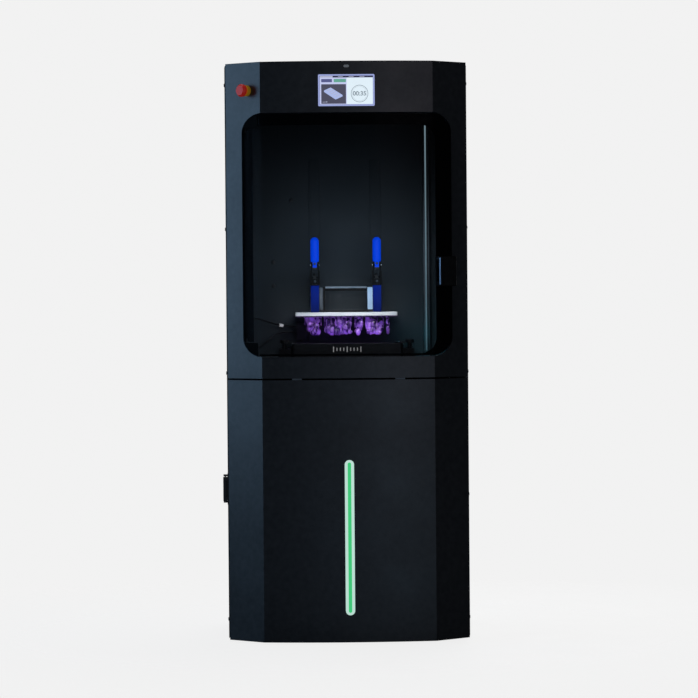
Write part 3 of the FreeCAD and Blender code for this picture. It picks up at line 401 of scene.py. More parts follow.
def dress_nodes():
    """Gives every CAD node that stays its material."""
    grip = dipped_grip_painted_glow(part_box("clamp_lever_left")[0].z + 0.0275)
    column_low, column_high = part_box("light_column_diffuser")
    column = fading_light("column_light", (0.42, 0.62, 0.72), column_low.z, column_high.z,
                          0.10, 0.55)
    wanted = dict(NODE_MATERIALS)
    wanted["clamp_lever_left"] = grip
    wanted["clamp_lever_right"] = grip
    wanted["light_column_diffuser"] = column
    for node, material in wanted.items():
        for material_slot in frame["nodes"][node].material_slots:
            material_slot.material = material


# ---------------------------------------------------------------------------
# Mesh helpers
# ---------------------------------------------------------------------------
def piece(name, shape, body, material, smooth=True):
    """Makes an object of a bmesh, and rides it on a body."""
    mesh = bpy.data.meshes.new(name)
    bmesh.ops.recalc_face_normals(shape, faces=shape.faces)
    shape.to_mesh(mesh)
    shape.free()
    mesh.materials.append(material)
    item = bpy.data.objects.new(name, mesh)
    bpy.context.collection.objects.link(item)
    if smooth:
        mesh.shade_smooth()
        mesh.set_sharp_from_angle(angle=math.radians(35))
    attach(item, body)
    return item


def add_block(shape, low, high, bevel=0.0, turn=None):
    """Adds a block between two corners, with bevelled edges."""
    low = Vector(low)
    high = Vector(high)
    made = bmesh.ops.create_cube(shape, size=1.0)
    verts = made["verts"]
    middle = (low + high) / 2
    size = high - low
    matrix = Matrix.Translation(middle) @ Matrix.Diagonal((*size, 1))
    if turn:
        matrix = turn @ matrix
    bmesh.ops.transform(shape, matrix=matrix, verts=verts)
    if bevel:
        edges = list({edge for vert in verts for edge in vert.link_edges})
        bmesh.ops.bevel(shape, geom=edges, offset=bevel, segments=2, affect="EDGES",
                        profile=0.7)
    return shape


def block(low, high, bevel=0.0):
    """A new block between two corners."""
    return add_block(bmesh.new(), low, high, bevel)


def facing(normal):
    """A matrix whose Z axis points along a normal."""
    return Vector(normal).to_track_quat("Z", "Y").to_matrix().to_4x4()


def add_lathe(shape, profile, place, normal, count=28):
    """Adds a turned solid; profile is (radius, height) from its foot to its top."""
    matrix = Matrix.Translation(place) @ facing(normal)
    rings = []
    for radius, height in profile:
        ring = []
        for number in range(count):
            angle = math.tau * number / count
            spot = Vector((radius * math.cos(angle), radius * math.sin(angle), height))
            ring.append(shape.verts.new(matrix @ spot))
        rings.append(ring)
    for lower, upper in zip(rings, rings[1:]):
        for number in range(count):
            following = (number + 1) % count
            shape.faces.new((lower[number], lower[following], upper[following], upper[number]))
    shape.faces.new(rings[0][::-1])
    shape.faces.new(rings[-1])
    return shape


def add_screw(shape, place, normal, radius):
    """A low-head hexagon-socket screw, standing on its surface."""
    head = radius * 0.55
    matrix = Matrix.Translation(place) @ facing(normal)
    count = 24
    rings = []
    outline = [(1.0, 0.0), (1.0, 0.62), (0.93, 0.86), (0.78, 1.0), (None, 1.0), (None, 0.35)]
    for share, height in outline:
        ring = []
        for number in range(count):
            angle = math.tau * number / count
            if share is None:
                nearest = math.pi / 3 * round(angle / (math.pi / 3))
                reach = radius * 0.46 * math.cos(math.pi / 6) / math.cos(angle - nearest)
                reach = min(reach, radius * 0.5)
            else:
                reach = radius * share
            ring.append(shape.verts.new(matrix @ Vector((
                reach * math.cos(angle), reach * math.sin(angle), head * height))))
        rings.append(ring)
    for lower, upper in zip(rings, rings[1:]):
        for number in range(count):
            following = (number + 1) % count
            shape.faces.new((lower[number], lower[following], upper[following], upper[number]))
    shape.faces.new(rings[0][::-1])
    shape.faces.new(rings[-1])


def screws(name, places, normal, radius, body, material):
    """One piece with a screw head at each place."""
    shape = bmesh.new()
    for place in places:
        add_screw(shape, place, normal, radius)
    return piece(name, shape, body, material)


def add_prism(shape, outline, low, high, turn=None, bevel=0.0):
    """Adds a prism of an (x, z) outline between two depths along Y."""
    front = [shape.verts.new((x, low, z)) for x, z in outline]
    back = [shape.verts.new((x, high, z)) for x, z in outline]
    count = len(outline)
    faces = [shape.faces.new(front), shape.faces.new(back[::-1])]
    for number in range(count):
        following = (number + 1) % count
        faces.append(shape.faces.new((front[number], back[number],
                                      back[following], front[following])))
    if turn:
        bmesh.ops.transform(shape, matrix=turn, verts=front + back)
    if bevel:
        rims = [edge for face in faces[:2] for edge in face.edges]
        bmesh.ops.bevel(shape, geom=rims, offset=bevel, segments=2, affect="EDGES", profile=0.7)
    return shape


def round_rectangle(left, right, bottom, top, radius, steps=8):
    """The corner points of a rounded rectangle, anticlockwise."""
    points = []
    for centre_x, centre_z, first in ((right - radius, bottom + radius, -90),
                                      (right - radius, top - radius, 0),
                                      (left + radius, top - radius, 90),
                                      (left + radius, bottom + radius, 180)):
        for step in range(steps + 1):
            angle = math.radians(first + 90 * step / steps)
            points.append((centre_x + radius * math.cos(angle),
                           centre_z + radius * math.sin(angle)))
    return points


# ---------------------------------------------------------------------------
# The curved front: how far back the case's surface lies at a given x
# ---------------------------------------------------------------------------
FRONT = SHELL_LOW.y
SHELL_HALF = SHELL_HIGH.x
CREASE_X = 0.248
CREASE_Y = -0.325
CORNER_Y = -0.237
BOW = CREASE_Y - FRONT
BOW_RADIUS = (CREASE_X ** 2 + BOW ** 2) / (2 * BOW)
CHAMFER = Vector((SHELL_HALF - CREASE_X, CORNER_Y - CREASE_Y)).normalized()


def front_y(x, inset):
    """The depth of the front's surface, set in by inset along its own normal."""
    across = abs(x)
    radius = BOW_RADIUS - inset
    centre = FRONT + BOW_RADIUS
    on_bow = centre - math.sqrt(radius ** 2 - min(across, 0.3) ** 2)
    slope = CHAMFER.y / CHAMFER.x
    on_chamfer = CREASE_Y + (across - CREASE_X) * slope + inset / CHAMFER.x
    return max(on_bow, on_chamfer)


# ---------------------------------------------------------------------------
# Camera, lights and floor
# ---------------------------------------------------------------------------
def make_camera():
    """A long lens in front of the machine, a little above its middle."""
    lens = bpy.data.cameras.new("camera")
    lens.lens = 168.9
    lens.clip_end = 60
    camera = bpy.data.objects.new("camera", lens)
    bpy.context.collection.objects.link(camera)
    place = Matrix.Translation((-0.1715, -9.7285, 1.0074))
    yaw = Matrix.Rotation(-0.01844, 4, "Z")
    pitch = Matrix.Rotation(-0.01671, 4, "X")
    roll = Matrix.Rotation(0.00814, 4, "Y")
    level = Matrix.Rotation(math.radians(90), 4, "X")
    camera.matrix_world = place @ yaw @ pitch @ roll @ level
    bpy.context.scene.camera = camera


def area_light(name, place, target, size, power, colour):
    """A rectangular lamp that faces a target."""
    lamp = bpy.data.lights.new(name, "AREA")
    lamp.shape = "RECTANGLE"
    lamp.size, lamp.size_y = size
    lamp.energy = power
    lamp.color = colour
    item = bpy.data.objects.new(name, lamp)
    item.location = place
    item.rotation_euler = (Vector(target) - Vector(place)).to_track_quat("-Z", "Y").to_euler()
    bpy.context.collection.objects.link(item)
    return item


def make_lights():
    """A cool softbox on the left, cards in front, and soft light on the back and top."""
    area_light("left_softbox", (-4.2, -0.6, 1.75), (0, -0.4, 1.6), (2.0, 2.6), 42,
               (0.40, 0.67, 1.0))
    area_light("front_card_low", (0.4, -10.5, -0.5), (0, 0, -0.5), (4.5, 2.8), 12.2,
               (0.46, 0.70, 1.0))
    area_light("front_card_high", (0.4, -10.5, 2.0), (0, 0, 2.0), (4.5, 2.2), 7.8,
               (0.76, 0.86, 1.0))
    area_light("right_card_low", (1.7, -6.0, 0.2), (0, 0, 0.2), (1.7, 1.6), 5.2,
               (0.50, 0.76, 1.0))
    area_light("right_card_high", (1.7, -6.0, 2.05), (0, 0, 2.05), (1.7, 2.1), 9.5,
               (1.0, 0.88, 0.98))
    area_light("top_light", (0, 0.6, 4.6), (0, 0, 0), (2.4, 1.6), 24, (1, 1, 1))
    area_light("back_light", (1.2, 4.8, 0.9), (0, 0, 0.9), (2.6, 1.4), 60, (1, 1, 1))
    area_light("right_light", (3.4, 5.0, 0.9), (0, 0, 0.9), (1.6, 1.4), 24, (1, 1, 1))
    middle = (SHELL_LOW.z + SHELL_HIGH.z) / 2
    chamber = area_light("chamber_light", (0.02, -0.245, middle - 0.09),
                         (0, 0.1, middle - 0.16), (0.44, 0.26), 0.34, (0.66, 0.84, 1.0))
    chamber.data.spread = math.radians(120)
    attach(chamber, "case")
    plate_light = area_light("plate_light", (0, -0.25, PLATE_HIGH.z + 0.07),
                             (0, PLATE_LOW.y, PLATE_LOW.z), (0.30, 0.02), 0.15,
                             (0.94, 0.96, 1.0))
    plate_light.data.spread = math.radians(70)
    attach(plate_light, "case")
    teal = area_light("column_glow", (0.20, -0.05, DECK_HIGH + 0.07),
                      (0.291, 0.02, DECK_HIGH + 0.07), (0.10, 0.05), 0.05, (0.05, 0.62, 0.75))
    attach(teal, "case")
    violet = area_light("cure_light", (0, -0.09, VAT_HIGH.z + 0.001), (0, -0.06, 1.0),
                        (0.24, 0.05), 0.05, (0.45, 0.22, 1.0))
    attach(violet, "case")


def make_world():
    """Near-white to the camera, and a dim grey room for everything else."""
    world = bpy.data.worlds.new("studio")
    world.use_nodes = True
    tree = world.node_tree
    tree.nodes.clear()
    out = tree.nodes.new("ShaderNodeOutputWorld")
    path = tree.nodes.new("ShaderNodeLightPath")
    mixer = tree.nodes.new("ShaderNodeMixShader")
    room = tree.nodes.new("ShaderNodeBackground")
    room.inputs["Color"].default_value = (0.8, 0.88, 1.0, 1)
    room.inputs["Strength"].default_value = 0.03
    paper = tree.nodes.new("ShaderNodeBackground")
    paper.inputs["Color"].default_value = (0.887, 0.887, 0.887, 1)
    tree.links.new(path.outputs["Is Camera Ray"], mixer.inputs["Fac"])
    tree.links.new(room.outputs["Background"], mixer.inputs[1])
    tree.links.new(paper.outputs["Background"], mixer.inputs[2])
    tree.links.new(mixer.outputs["Shader"], out.inputs["Surface"])
    bpy.context.scene.world = world
    bpy.context.scene.view_settings.view_transform = "Standard"


def make_floor():
    """A pale round sheet on the floor, whose edge fades into the studio."""
    shape = bmesh.new()
    bmesh.ops.create_circle(shape, cap_ends=True, segments=96, radius=2.6)
    mesh = bpy.data.meshes.new("floor")
    shape.to_mesh(mesh)
    shape.free()
    paint = Paint("floor_paper")
    shader = paint.shader
    paint.link(paint.mixed(paint.noise(3, 2), (0.135, 0.135, 0.135), (0.14, 0.14, 0.14)),
               shader.inputs["Base Color"])
    paint.link(paint.ranged(paint.noise(6, 2), 0.85, 0.92), shader.inputs["Roughness"])
    length = paint.tree.nodes.new("ShaderNodeVectorMath")
    length.operation = "LENGTH"
    paint.link(paint.place, length.inputs[0])
    paint.link(paint.ranged(length.outputs["Value"], 1.0, 0.0, 0.55, 1.9),
               shader.inputs["Alpha"])
    path = paint.tree.nodes.new("ShaderNodeLightPath")
    paint.link(paint.ranged(path.outputs["Is Camera Ray"], 0.0, 0.84, 0, 1),
               shader.inputs["Emission Strength"])
    shader.inputs["Emission Color"].default_value = (1, 1, 1, 1)
    shader.inputs["Specular IOR Level"].default_value = 0.05
    mesh.materials.append(paint.material)
    floor = bpy.data.objects.new("floor", mesh)
    bpy.context.collection.objects.link(floor)


# ---------------------------------------------------------------------------
# The two leads in the chamber
# ---------------------------------------------------------------------------
LEAD_DIAMETER = 0.005
SENSOR_ROUTE = [(-0.285, 0.060, 0.938), (-0.264, 0.060, 0.938), (-0.239, 0.064, 0.929),
                (-0.209, 0.075, 0.919), (-0.175, 0.092, 0.912), (-0.147, 0.092, 0.912)]
TUBE_ROUTE = [(-0.285, 0.060, 0.850), (-0.263, 0.060, 0.850), (-0.242, 0.062, 0.862),
              (-0.224, 0.066, 0.880), (-0.202, 0.075, 0.893), (-0.173, 0.092, 0.896),
              (-0.147, 0.092, 0.896)]


def lead(name, node, route, material):
    """A lead that sags between the side wall and the feed head."""
    line = bpy.data.curves.new(name, "CURVE")
    line.dimensions = "3D"
    line.bevel_depth = LEAD_DIAMETER / 2
    line.bevel_resolution = 5
    line.resolution_u = 16
    line.use_fill_caps = True
    spline = line.splines.new("NURBS")
    spline.points.add(len(route) - 1)
    for point, place in zip(spline.points, route):
        point.co = (*place, 1)
    spline.order_u = 3
    spline.use_endpoint_u = True
    line.materials.append(material)
    item = bpy.data.objects.new(name, line)
    bpy.context.collection.objects.link(item)
    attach(item, "case")
    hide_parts(node)


def make_leads():
    """The sensor's lead and the resin tube, with their glands at the left wall."""
    sheath = coated("lead_sheath", (0.007, 0.007, 0.008), 0.5, 500, 0.2, gloss=0.3)
    tubing = coated("resin_tubing", (0.010, 0.009, 0.012), 0.35, 300, 0.05)
    tag = bmesh.new()
    add_lathe(tag, [(0.0030, 0), (0.0046, 0.0004), (0.0046, 0.0116), (0.0030, 0.0120)],
              (-0.1985, 0.0805, 0.9172), (0.034, 0.017, -0.007), 24)
    tag = piece("lead_tag", tag, "case", WHITE_MARK)
    lead("sensor_cord", "sensor_lead", SENSOR_ROUTE, sheath)
    lead("resin_hose", "resin_tube", TUBE_ROUTE, tubing)
    glands = bmesh.new()
    for route in (SENSOR_ROUTE, TUBE_ROUTE):
        y, z = route[0][1:]
        add_lathe(glands, [(0.0085, 0), (0.0085, 0.003), (0.0068, 0.0035), (0.0062, 0.008),
                           (0.0036, 0.011)], (WALL_LEFT + 0.0001, y, z), (1, 0, 0))
    piece("lead_glands", glands, "case", BLACK_PLASTIC)


# ---------------------------------------------------------------------------
# Display, status light and emergency stop
# ---------------------------------------------------------------------------
SCREEN_Z = (BEZEL_LOW.z + BEZEL_HIGH.z) / 2
SCREEN_FACE = BEZEL_LOW.y + 0.0006


def screen_tile(name, left, right, bottom, top, material, radius=0.0008, rise=1):
    """One raised area of the picture, placed from the screen's middle in mm."""
    outline = round_rectangle(left * MM, right * MM, SCREEN_Z + bottom * MM,
                              SCREEN_Z + top * MM, radius, 4)
    shape = bmesh.new()
    add_prism(shape, outline, SCREEN_FACE - 0.00012 * rise, SCREEN_FACE)
    return piece(name, shape, "case", material, smooth=False)


def make_screen():
    """The lit picture on the touch display."""
    glass = coated("screen_glass", (0.10, 0.10, 0.16), 0.12, 300, 0.02, coat=0.6)
    shape = block((-0.0768, SCREEN_FACE, SCREEN_Z - 0.0413),
                  (0.0768, SCREEN_FACE + 0.0023, SCREEN_Z + 0.0413), 0.0004)
    piece("screen_glass", shape, "case", glass)
    page = glow("screen_page", (0.58, 0.62, 0.90), 0.92, (0.5, 0.5, 0.6))
    bar = glow("screen_bar", (0.035, 0.035, 0.075), 0.9, (0.04, 0.04, 0.06))
    pale = glow("screen_pale", (0.45, 0.47, 0.62), 0.9, (0.5, 0.5, 0.6))
    slate = glow("screen_slate", (0.10, 0.11, 0.27), 0.9, (0.1, 0.1, 0.2))
    green = glow("screen_green", (0.13, 0.38, 0.29), 0.95, (0.1, 0.3, 0.25))
    view = glow("screen_view", (0.075, 0.075, 0.115), 0.95, (0.03, 0.03, 0.05))
    ink = glow("screen_ink", (0.27, 0.33, 0.38), 0.8, (0.1, 0.1, 0.12))
    paper = glow("screen_panel", (0.78, 0.90, 0.97), 0.95, (0.5, 0.55, 0.6))
    slab = glow("screen_slab", (0.42, 0.50, 0.82), 0.95, (0.3, 0.4, 0.6))
    screen_tile("screen_page", -76, 76, -40.8, 40.8, page)
    screen_tile("screen_panel", 1, 76, -40, 35.5, paper, rise=2)
    screen_tile("screen_tabs", -76, 76, 36, 40.8, bar, rise=2)
    screen_tile("screen_tab_open", -76, -39, 36, 40.8, pale, rise=3)
    for number in range(3):
        left = -24 + 31 * number
        screen_tile(f"screen_tab_mark_{number + 1}", left, left + 14, 37.6, 39.2, pale,
                    0.0003, rise=3)
    screen_tile("screen_button_left", -72, -41, 22.6, 32, slate, 0.0015, rise=2)
    screen_tile("screen_button_right", -36, -1, 22.6, 32, green, 0.0015, rise=2)
    screen_tile("screen_viewport", -72, -1, -39, 17, view, rise=2)
    for number in range(3):
        screen_tile(f"screen_scale_{number + 1}", -68 + 5 * number, -65 + 5 * number, -35,
                    -33.4 + 0.6 * number, pale, 0.0002, rise=3)
    make_preview(slab, pale)
    make_timer(ink)


def make_preview(slab, pale):
    """The tilted model that the viewport shows: a slab with bars across it."""
    shape = bmesh.new()
    corners = [(-64, -1), (-64, -5), (-31, -27), (-11, -18), (-11, -14), (-45, 7.6)]
    outline = [(x * MM, SCREEN_Z + z * MM) for x, z in corners]
    add_prism(shape, outline, SCREEN_FACE - 0.00036, SCREEN_FACE)
    piece("screen_model", shape, "case", slab, smooth=False)
    bars = bmesh.new()
    for number in range(5):
        along = 6.4 * number
        corners = [(-44 + along, 5.0 - 0.64 * along), (-58 + along, -2.0 - 0.64 * along),
                   (-56 + along, -3.2 - 0.64 * along), (-42 + along, 3.8 - 0.64 * along)]
        outline = [(x * MM, SCREEN_Z + z * MM) for x, z in corners]
        add_prism(bars, outline, SCREEN_FACE - 0.00048, SCREEN_FACE)
    piece("screen_model_bars", bars, "case", pale, smooth=False)


def make_timer(ink):
    """A ring round the time that is left."""
    centre_x = 0.0378
    centre_z = SCREEN_Z - 0.0103
    ring = bmesh.new()
    count = 72
    for reach, thick, depth in ((0.0248, 0.0015, 0.00036), (0.0208, 0.0004, 0.00036)):
        loops = []
        for radius, y in ((reach, 0), (reach, depth), (reach - thick, depth),
                          (reach - thick, 0)):
            loops.append([ring.verts.new((
                centre_x + radius * math.cos(math.tau * number / count), SCREEN_FACE - y,
                centre_z + radius * math.sin(math.tau * number / count)))
                for number in range(count)])
        for first, second in zip(loops, loops[1:] + loops[:1]):
            for number in range(count):
                following = (number + 1) % count
                ring.faces.new((first[number], first[following],
                                second[following], second[number]))
    piece("screen_timer_ring", ring, "case", ink)
    letters = bpy.data.curves.new("digits", "FONT")
    letters.body = "00:35"
    letters.size = 0.0175
    letters.extrude = 0.00012
    letters.offset = 0.0004
    letters.align_x = "CENTER"
    letters.align_y = "CENTER"
    holder = bpy.data.objects.new("digits", letters)
    digits = bmesh.new()
    digits.from_mesh(bpy.data.meshes.new_from_object(holder))
    bpy.data.objects.remove(holder)
    upright = Matrix.Translation((centre_x, SCREEN_FACE - 0.00036, centre_z))
    bmesh.ops.transform(digits, matrix=upright @ Matrix.Rotation(math.radians(90), 4, "X"),
                        verts=digits.verts)
    piece("screen_timer_digits", digits, "case", ink, smooth=False)


def ring_spot(radius, angle):
    """A point on a circle about the origin."""
    return Vector((radius * math.cos(angle), radius * math.sin(angle), 0))


def make_stop_details():
    """White arrows round the red button."""
    low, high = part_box("estop_head")
    normal = Vector((CHAMFER.y, -CHAMFER.x, 0))
    normal.x = -abs(normal.x)
    normal.y = -abs(normal.y)
    normal.normalize()
    middle = (low + high) / 2
    turn = facing(normal)
    face = middle + normal * 0.0073
    arrows = bmesh.new()
    for number in range(3):
        angles = [math.tau * number / 3 + 0.22 * step for step in range(6)]
        last = angles[-1]
        head = [ring_spot(0.0080, last), ring_spot(0.0106, last + 0.36), ring_spot(0.0132, last)]
        outline = [ring_spot(0.0095, angle) for angle in angles]
        outline += head
        outline += [ring_spot(0.0117, angle) for angle in angles[::-1]]
        bottom = [arrows.verts.new(Matrix.Translation(face) @ turn @ spot) for spot in outline]
        face_made = arrows.faces.new(bottom)
        grown = bmesh.ops.extrude_face_region(arrows, geom=[face_made])
        lifted = [item for item in grown["geom"] if isinstance(item, bmesh.types.BMVert)]
        bmesh.ops.translate(arrows, vec=normal * 0.0006, verts=lifted)
    piece("stop_arrows", arrows, "stop_head", WHITE_MARK, smooth=False)


# ---------------------------------------------------------------------------
# Window: the black border behind its pane, partly painted shade, and the covers at its hinge
# ---------------------------------------------------------------------------
def bowed_slab(left, right, bottom, top, front, back, columns):
    """A rectangular sheet that follows the curved front."""
    shape = bmesh.new()
    loops = []
    for column in range(columns + 1):
        x = left + (right - left) * column / columns
        loops.append([shape.verts.new((x, front_y(x, inset), z)) for inset, z in
                      ((front, bottom), (front, top), (back, top), (back, bottom))])
    for first, second in zip(loops, loops[1:]):
        for number in range(4):
            following = (number + 1) % 4
            shape.faces.new((first[number], first[following],
                             second[following], second[number]))
    shape.faces.new(loops[0])
    shape.faces.new(loops[-1][::-1])
    return shape


def open_path(left, right, bottom, top, radius):
    """Points along the bottom, up the right side and back along the top."""
    corners = round_rectangle(left, right, bottom, top, radius, 10)[:22]
    corners = [(left, bottom)] + corners + [(left, top)]
    points = []
    for (x, z), (next_x, next_z) in zip(corners, corners[1:]):
        steps = 24 if abs(next_x - x) + abs(next_z - z) > 0.1 else 1
        for step in range(steps):
            points.append((x + (next_x - x) * step / steps, z + (next_z - z) * step / steps))
    points.append(corners[-1])
    return points


def bowed_border(outer, inner, front, back):
    """A flat border between two open paths, which follows the curved front."""
    shape = bmesh.new()
    loops = []
    for (outer_x, outer_z), (inner_x, inner_z) in zip(outer, inner):
        loops.append([shape.verts.new((x, front_y(x, inset), z)) for x, z, inset in (
            (outer_x, outer_z, front), (inner_x, inner_z, front),
            (inner_x, inner_z, back), (outer_x, outer_z, back))])
    for first, second in zip(loops, loops[1:]):
        for number in range(4):
            following = (number + 1) % 4
            shape.faces.new((first[number], first[following],
                             second[following], second[number]))
    shape.faces.new(loops[0])
    shape.faces.new(loops[-1][::-1])
    return shape


def make_window_details():
    """The window's black border, widened at the top and right as painted shade, and the covers at
    its hinge.
    """
    left, right = PANE_LOW.x, PANE_HIGH.x
    bottom, top = PANE_LOW.z, PANE_HIGH.z
    notch = 0.042
    notch_right = -0.256
    outer = open_path(notch_right + 0.0005, right - 0.002, bottom + 0.002, top - 0.002, 0.054)
    # The inner edge lies far in at the top and right: black frit widened as painted shade over the
    # dark ceiling and right wall behind.
    inner = open_path(notch_right + 0.0005, right - 0.046, bottom + 0.007, top - 0.034, 0.046)
    border = bowed_border(outer, inner, 0.0072, 0.0076)
    piece("window_border", border, "window_door", FRIT)
    strip = bowed_slab(left + 0.002, left + 0.0295, bottom + notch + 0.001,
                       top - notch - 0.001, 0.0072, 0.0076, 4)
    piece("window_hinge_border", strip, "window_door", FRIT)
    covers = ((top - notch + 0.0015, top - 0.001), (bottom + 0.001, bottom + notch - 0.0015))
    for name, (low, high) in zip(("upper", "lower"), covers):
        shape = bowed_slab(left + 0.0005, notch_right - 0.0020, low, high, 0.001, 0.0035, 4)
        bmesh.ops.bevel(shape, geom=shape.edges[:], offset=0.0004, segments=1,
                        affect="EDGES")
        piece(f"hinge_cover_{name}", shape, "case", FRIT)
    make_pull_highlight()


def make_pull_highlight():
    """A thin strip on the lip of the window's pull, beside its finger recess, light blue as a
    painted highlight.
    """
    low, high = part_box("window_pull")
    along = Vector((CHAMFER.x, CHAMFER.y, 0))
    outward = Vector((CHAMFER.y, -CHAMFER.x, 0))
    middle = Vector((CREASE_X, CREASE_Y, (low.z + high.z) / 2)) + 0.037 * along
    middle -= 0.001 * outward
    turn = Matrix((along, Vector((0, 0, 1)), outward)).transposed().to_4x4()
    edge = bmesh.new()
    add_block(edge, (-0.0327, -0.0385, 0.0184), (-0.0319, 0.0385, 0.0236), 0.0002,
              Matrix.Translation(middle) @ turn)
    piece("pull_painted_highlight", edge, "window_door", BLUE_SHEEN)


# ---------------------------------------------------------------------------
# Chamber
# ---------------------------------------------------------------------------
def make_chamber_details():
    """Screws of the walls and deck, the light column's lip, and the bands behind the two slots."""
    front = BACK_WALL_FRONT
    top = CEILING - 0.030
    rows = [DECK_HIGH + 0.040, 1.000, 1.180, 1.360, top]
    places = [(side * 0.272, front, z) for side in (-1, 1) for z in rows]
    places += [(x, front, z) for x in (-0.150, 0, 0.150) for z in (rows[0], top)]
    screws("back_wall_screws", places, (0, -1, 0), 0.0045, "case", STEEL_BLACK)
    places = [(-0.215, front, 1.105), (-0.215, front, 1.035), (-0.160, front, 1.290)]
    screws("sensor_mount_screws", places, (0, -1, 0), 0.006, "case", BLACK_PLASTIC)
    places = [(side * x, y, DECK_HIGH) for side in (-1, 1) for x in (0.225, 0.275)
              for y in (-0.235, -0.06, 0.08)]
    screws("deck_screws", places, (0, 0, 1), 0.0045, "case", STEEL_BLACK)
    for side, normal in ((-1, 1), (1, -1)):
        x = side * abs(WALL_LEFT)
        places = [(x, y, z) for y in (-0.235, 0.080) for z in (0.88, 1.10, 1.32, 1.52)]
        name = "left_wall_screws" if side < 0 else "right_wall_screws"
        screws(name, places, (normal, 0, 0), 0.0045, "case", STEEL_BLACK)
    low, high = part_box("light_column_diffuser")
    lip = block((low.x + 0.0042, low.y - 0.0006, low.z), (high.x + 0.0004, low.y, high.z), 0.0002)
    piece("column_lip", lip, "case", BLACK_PLASTIC)
    bands = bmesh.new()
    for slot_x in (-LEVER_PIVOT.x, LEVER_PIVOT.x):
        add_block(bands, (slot_x - SLOT_HALF_WIDTH, front + 0.0008, SLOT_LOW),
                  (slot_x + SLOT_HALF_WIDTH, front + 0.0014, SLOT_HIGH), 0.0002)
    piece("slot_bands", bands, "case", CHAMBER)


# ---------------------------------------------------------------------------
# Clamp links, screws and the printed parts
# ---------------------------------------------------------------------------
def make_lever(name):
    """A clamp's lever: a flat blade in a rounded grip, dipped down to its pivot."""
    node = f"clamp_lever_{name}"
    low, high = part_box(node)
    grip_low = low.z + 0.020
    middle_x = (low.x + high.x) / 2
    half_x = (high.x - low.x) / 2
    half_y = 0.0078
    middle_y = high.y - half_y if abs(high.y) > abs(low.y) else low.y + half_y
    shape = bmesh.new()
    profile = [(0.80, 0.0), (0.95, 0.002), (1.0, 0.006)]
    tall = high.z - grip_low
    for step in range(7):
        angle = math.radians(15 * step)
        profile.append((max(math.cos(angle), 0.02), tall - half_x * (1 - math.sin(angle))))
    made = bmesh.new()
    add_lathe(made, [(share * half_x, rise) for share, rise in profile],
              (0, 0, 0), (0, 0, 1), 36)
    flatten = Matrix.Translation((middle_x, middle_y, grip_low))
    flatten = flatten @ Matrix.Diagonal((1, half_y / half_x, 1, 1))
    bmesh.ops.transform(made, matrix=flatten, verts=made.verts)
    add_block(shape, (middle_x - 0.006, max(low.y, middle_y - 0.006), low.z),
              (middle_x + 0.006, min(high.y, middle_y + 0.006), grip_low + 0.010), 0.001)
    holder = bpy.data.meshes.new("grip")
    made.to_mesh(holder)
    made.free()
    shape.from_mesh(holder)
    item = piece(f"lever_{name}", shape, f"{name}_lever", dipped_grip_painted_glow(low.z + 0.004))
    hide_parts(node)


def make_frame_faces():
    """Thin faces on the front of the platform's frame: the right one light blue as a painted
    highlight, the left one dark as painted shade, and a satin strip along the top.
    """
    low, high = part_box("platform_frame")
    front = -0.024
    # Lit and shaded copies of one face: painted highlight on the right, painted shade on the left.
    spans = {"frame_face_right_painted_highlight": (0.0635, 0.0785, low.z + 0.008, high.z - 0.001, front,
                                  BLUE_SHEEN),
             "frame_face_left_painted_shade": (-0.0785, -0.0690, low.z + 0.008, high.z - 0.001, front,
                                 DULL),
             "frame_face_top": (-0.0610, 0.0610, high.z - 0.0035, high.z + 0.0020, -0.022,
                                SATIN)}
    for name, (left, right, bottom, top, face, material) in spans.items():
        shape = block((left, face - 0.0005, bottom), (right, face + 0.0003, top), 0.0002)
        piece(name, shape, "platform", material)


def make_clamp_details():
    """Rivets, side plates and bolts of the two toggle clamps."""
    for name, centre in (("left", -LEVER_PIVOT.x), ("right", LEVER_PIVOT.x)):
        for kind, pivot in (("clamp", LEVER_PIVOT), ("arm", ARM_PIVOT)):
            rivets = bmesh.new()
            for side in (-1, 1):
                add_lathe(rivets, [(0.0042, 0), (0.0042, 0.0012), (0.0030, 0.0020)],
                          (centre + side * 0.0125, pivot.y, pivot.z), (side, 0, 0), 20)
            piece(f"{kind}_rivets_{name}", rivets, "platform", CHROME)
        plates = bmesh.new()
        for side in (-1, 1):
            edges = sorted((centre + side * 0.0117, centre + side * 0.0150))
            add_block(plates, (edges[0], -0.028, 1.036), (edges[1], -0.008, 1.078), 0.0008)
        add_block(plates, (centre - 0.0082, -0.0298, 1.038), (centre + 0.0082, -0.026, 1.054),
                  0.0006)
        piece(f"clamp_plates_{name}", plates, "platform", CLAMP_BLACK)
        screws(f"clamp_bolt_{name}", [(centre, -0.0299, 1.046)], (0, -1, 0), 0.0038,
               "platform", DULL)
        screws(f"lever_bolt_{name}", [(centre, -0.0260, 1.0985)], (0, -1, 0), 0.0038,
               f"{name}_lever", DULL)
    places = [(side * 0.0705, 0.006, PLATE_HIGH.z + 0.006) for side in (-1, 1)]
    screws("platform_screws", places, (0, 0, 1), 0.0036, "platform", CHROME)


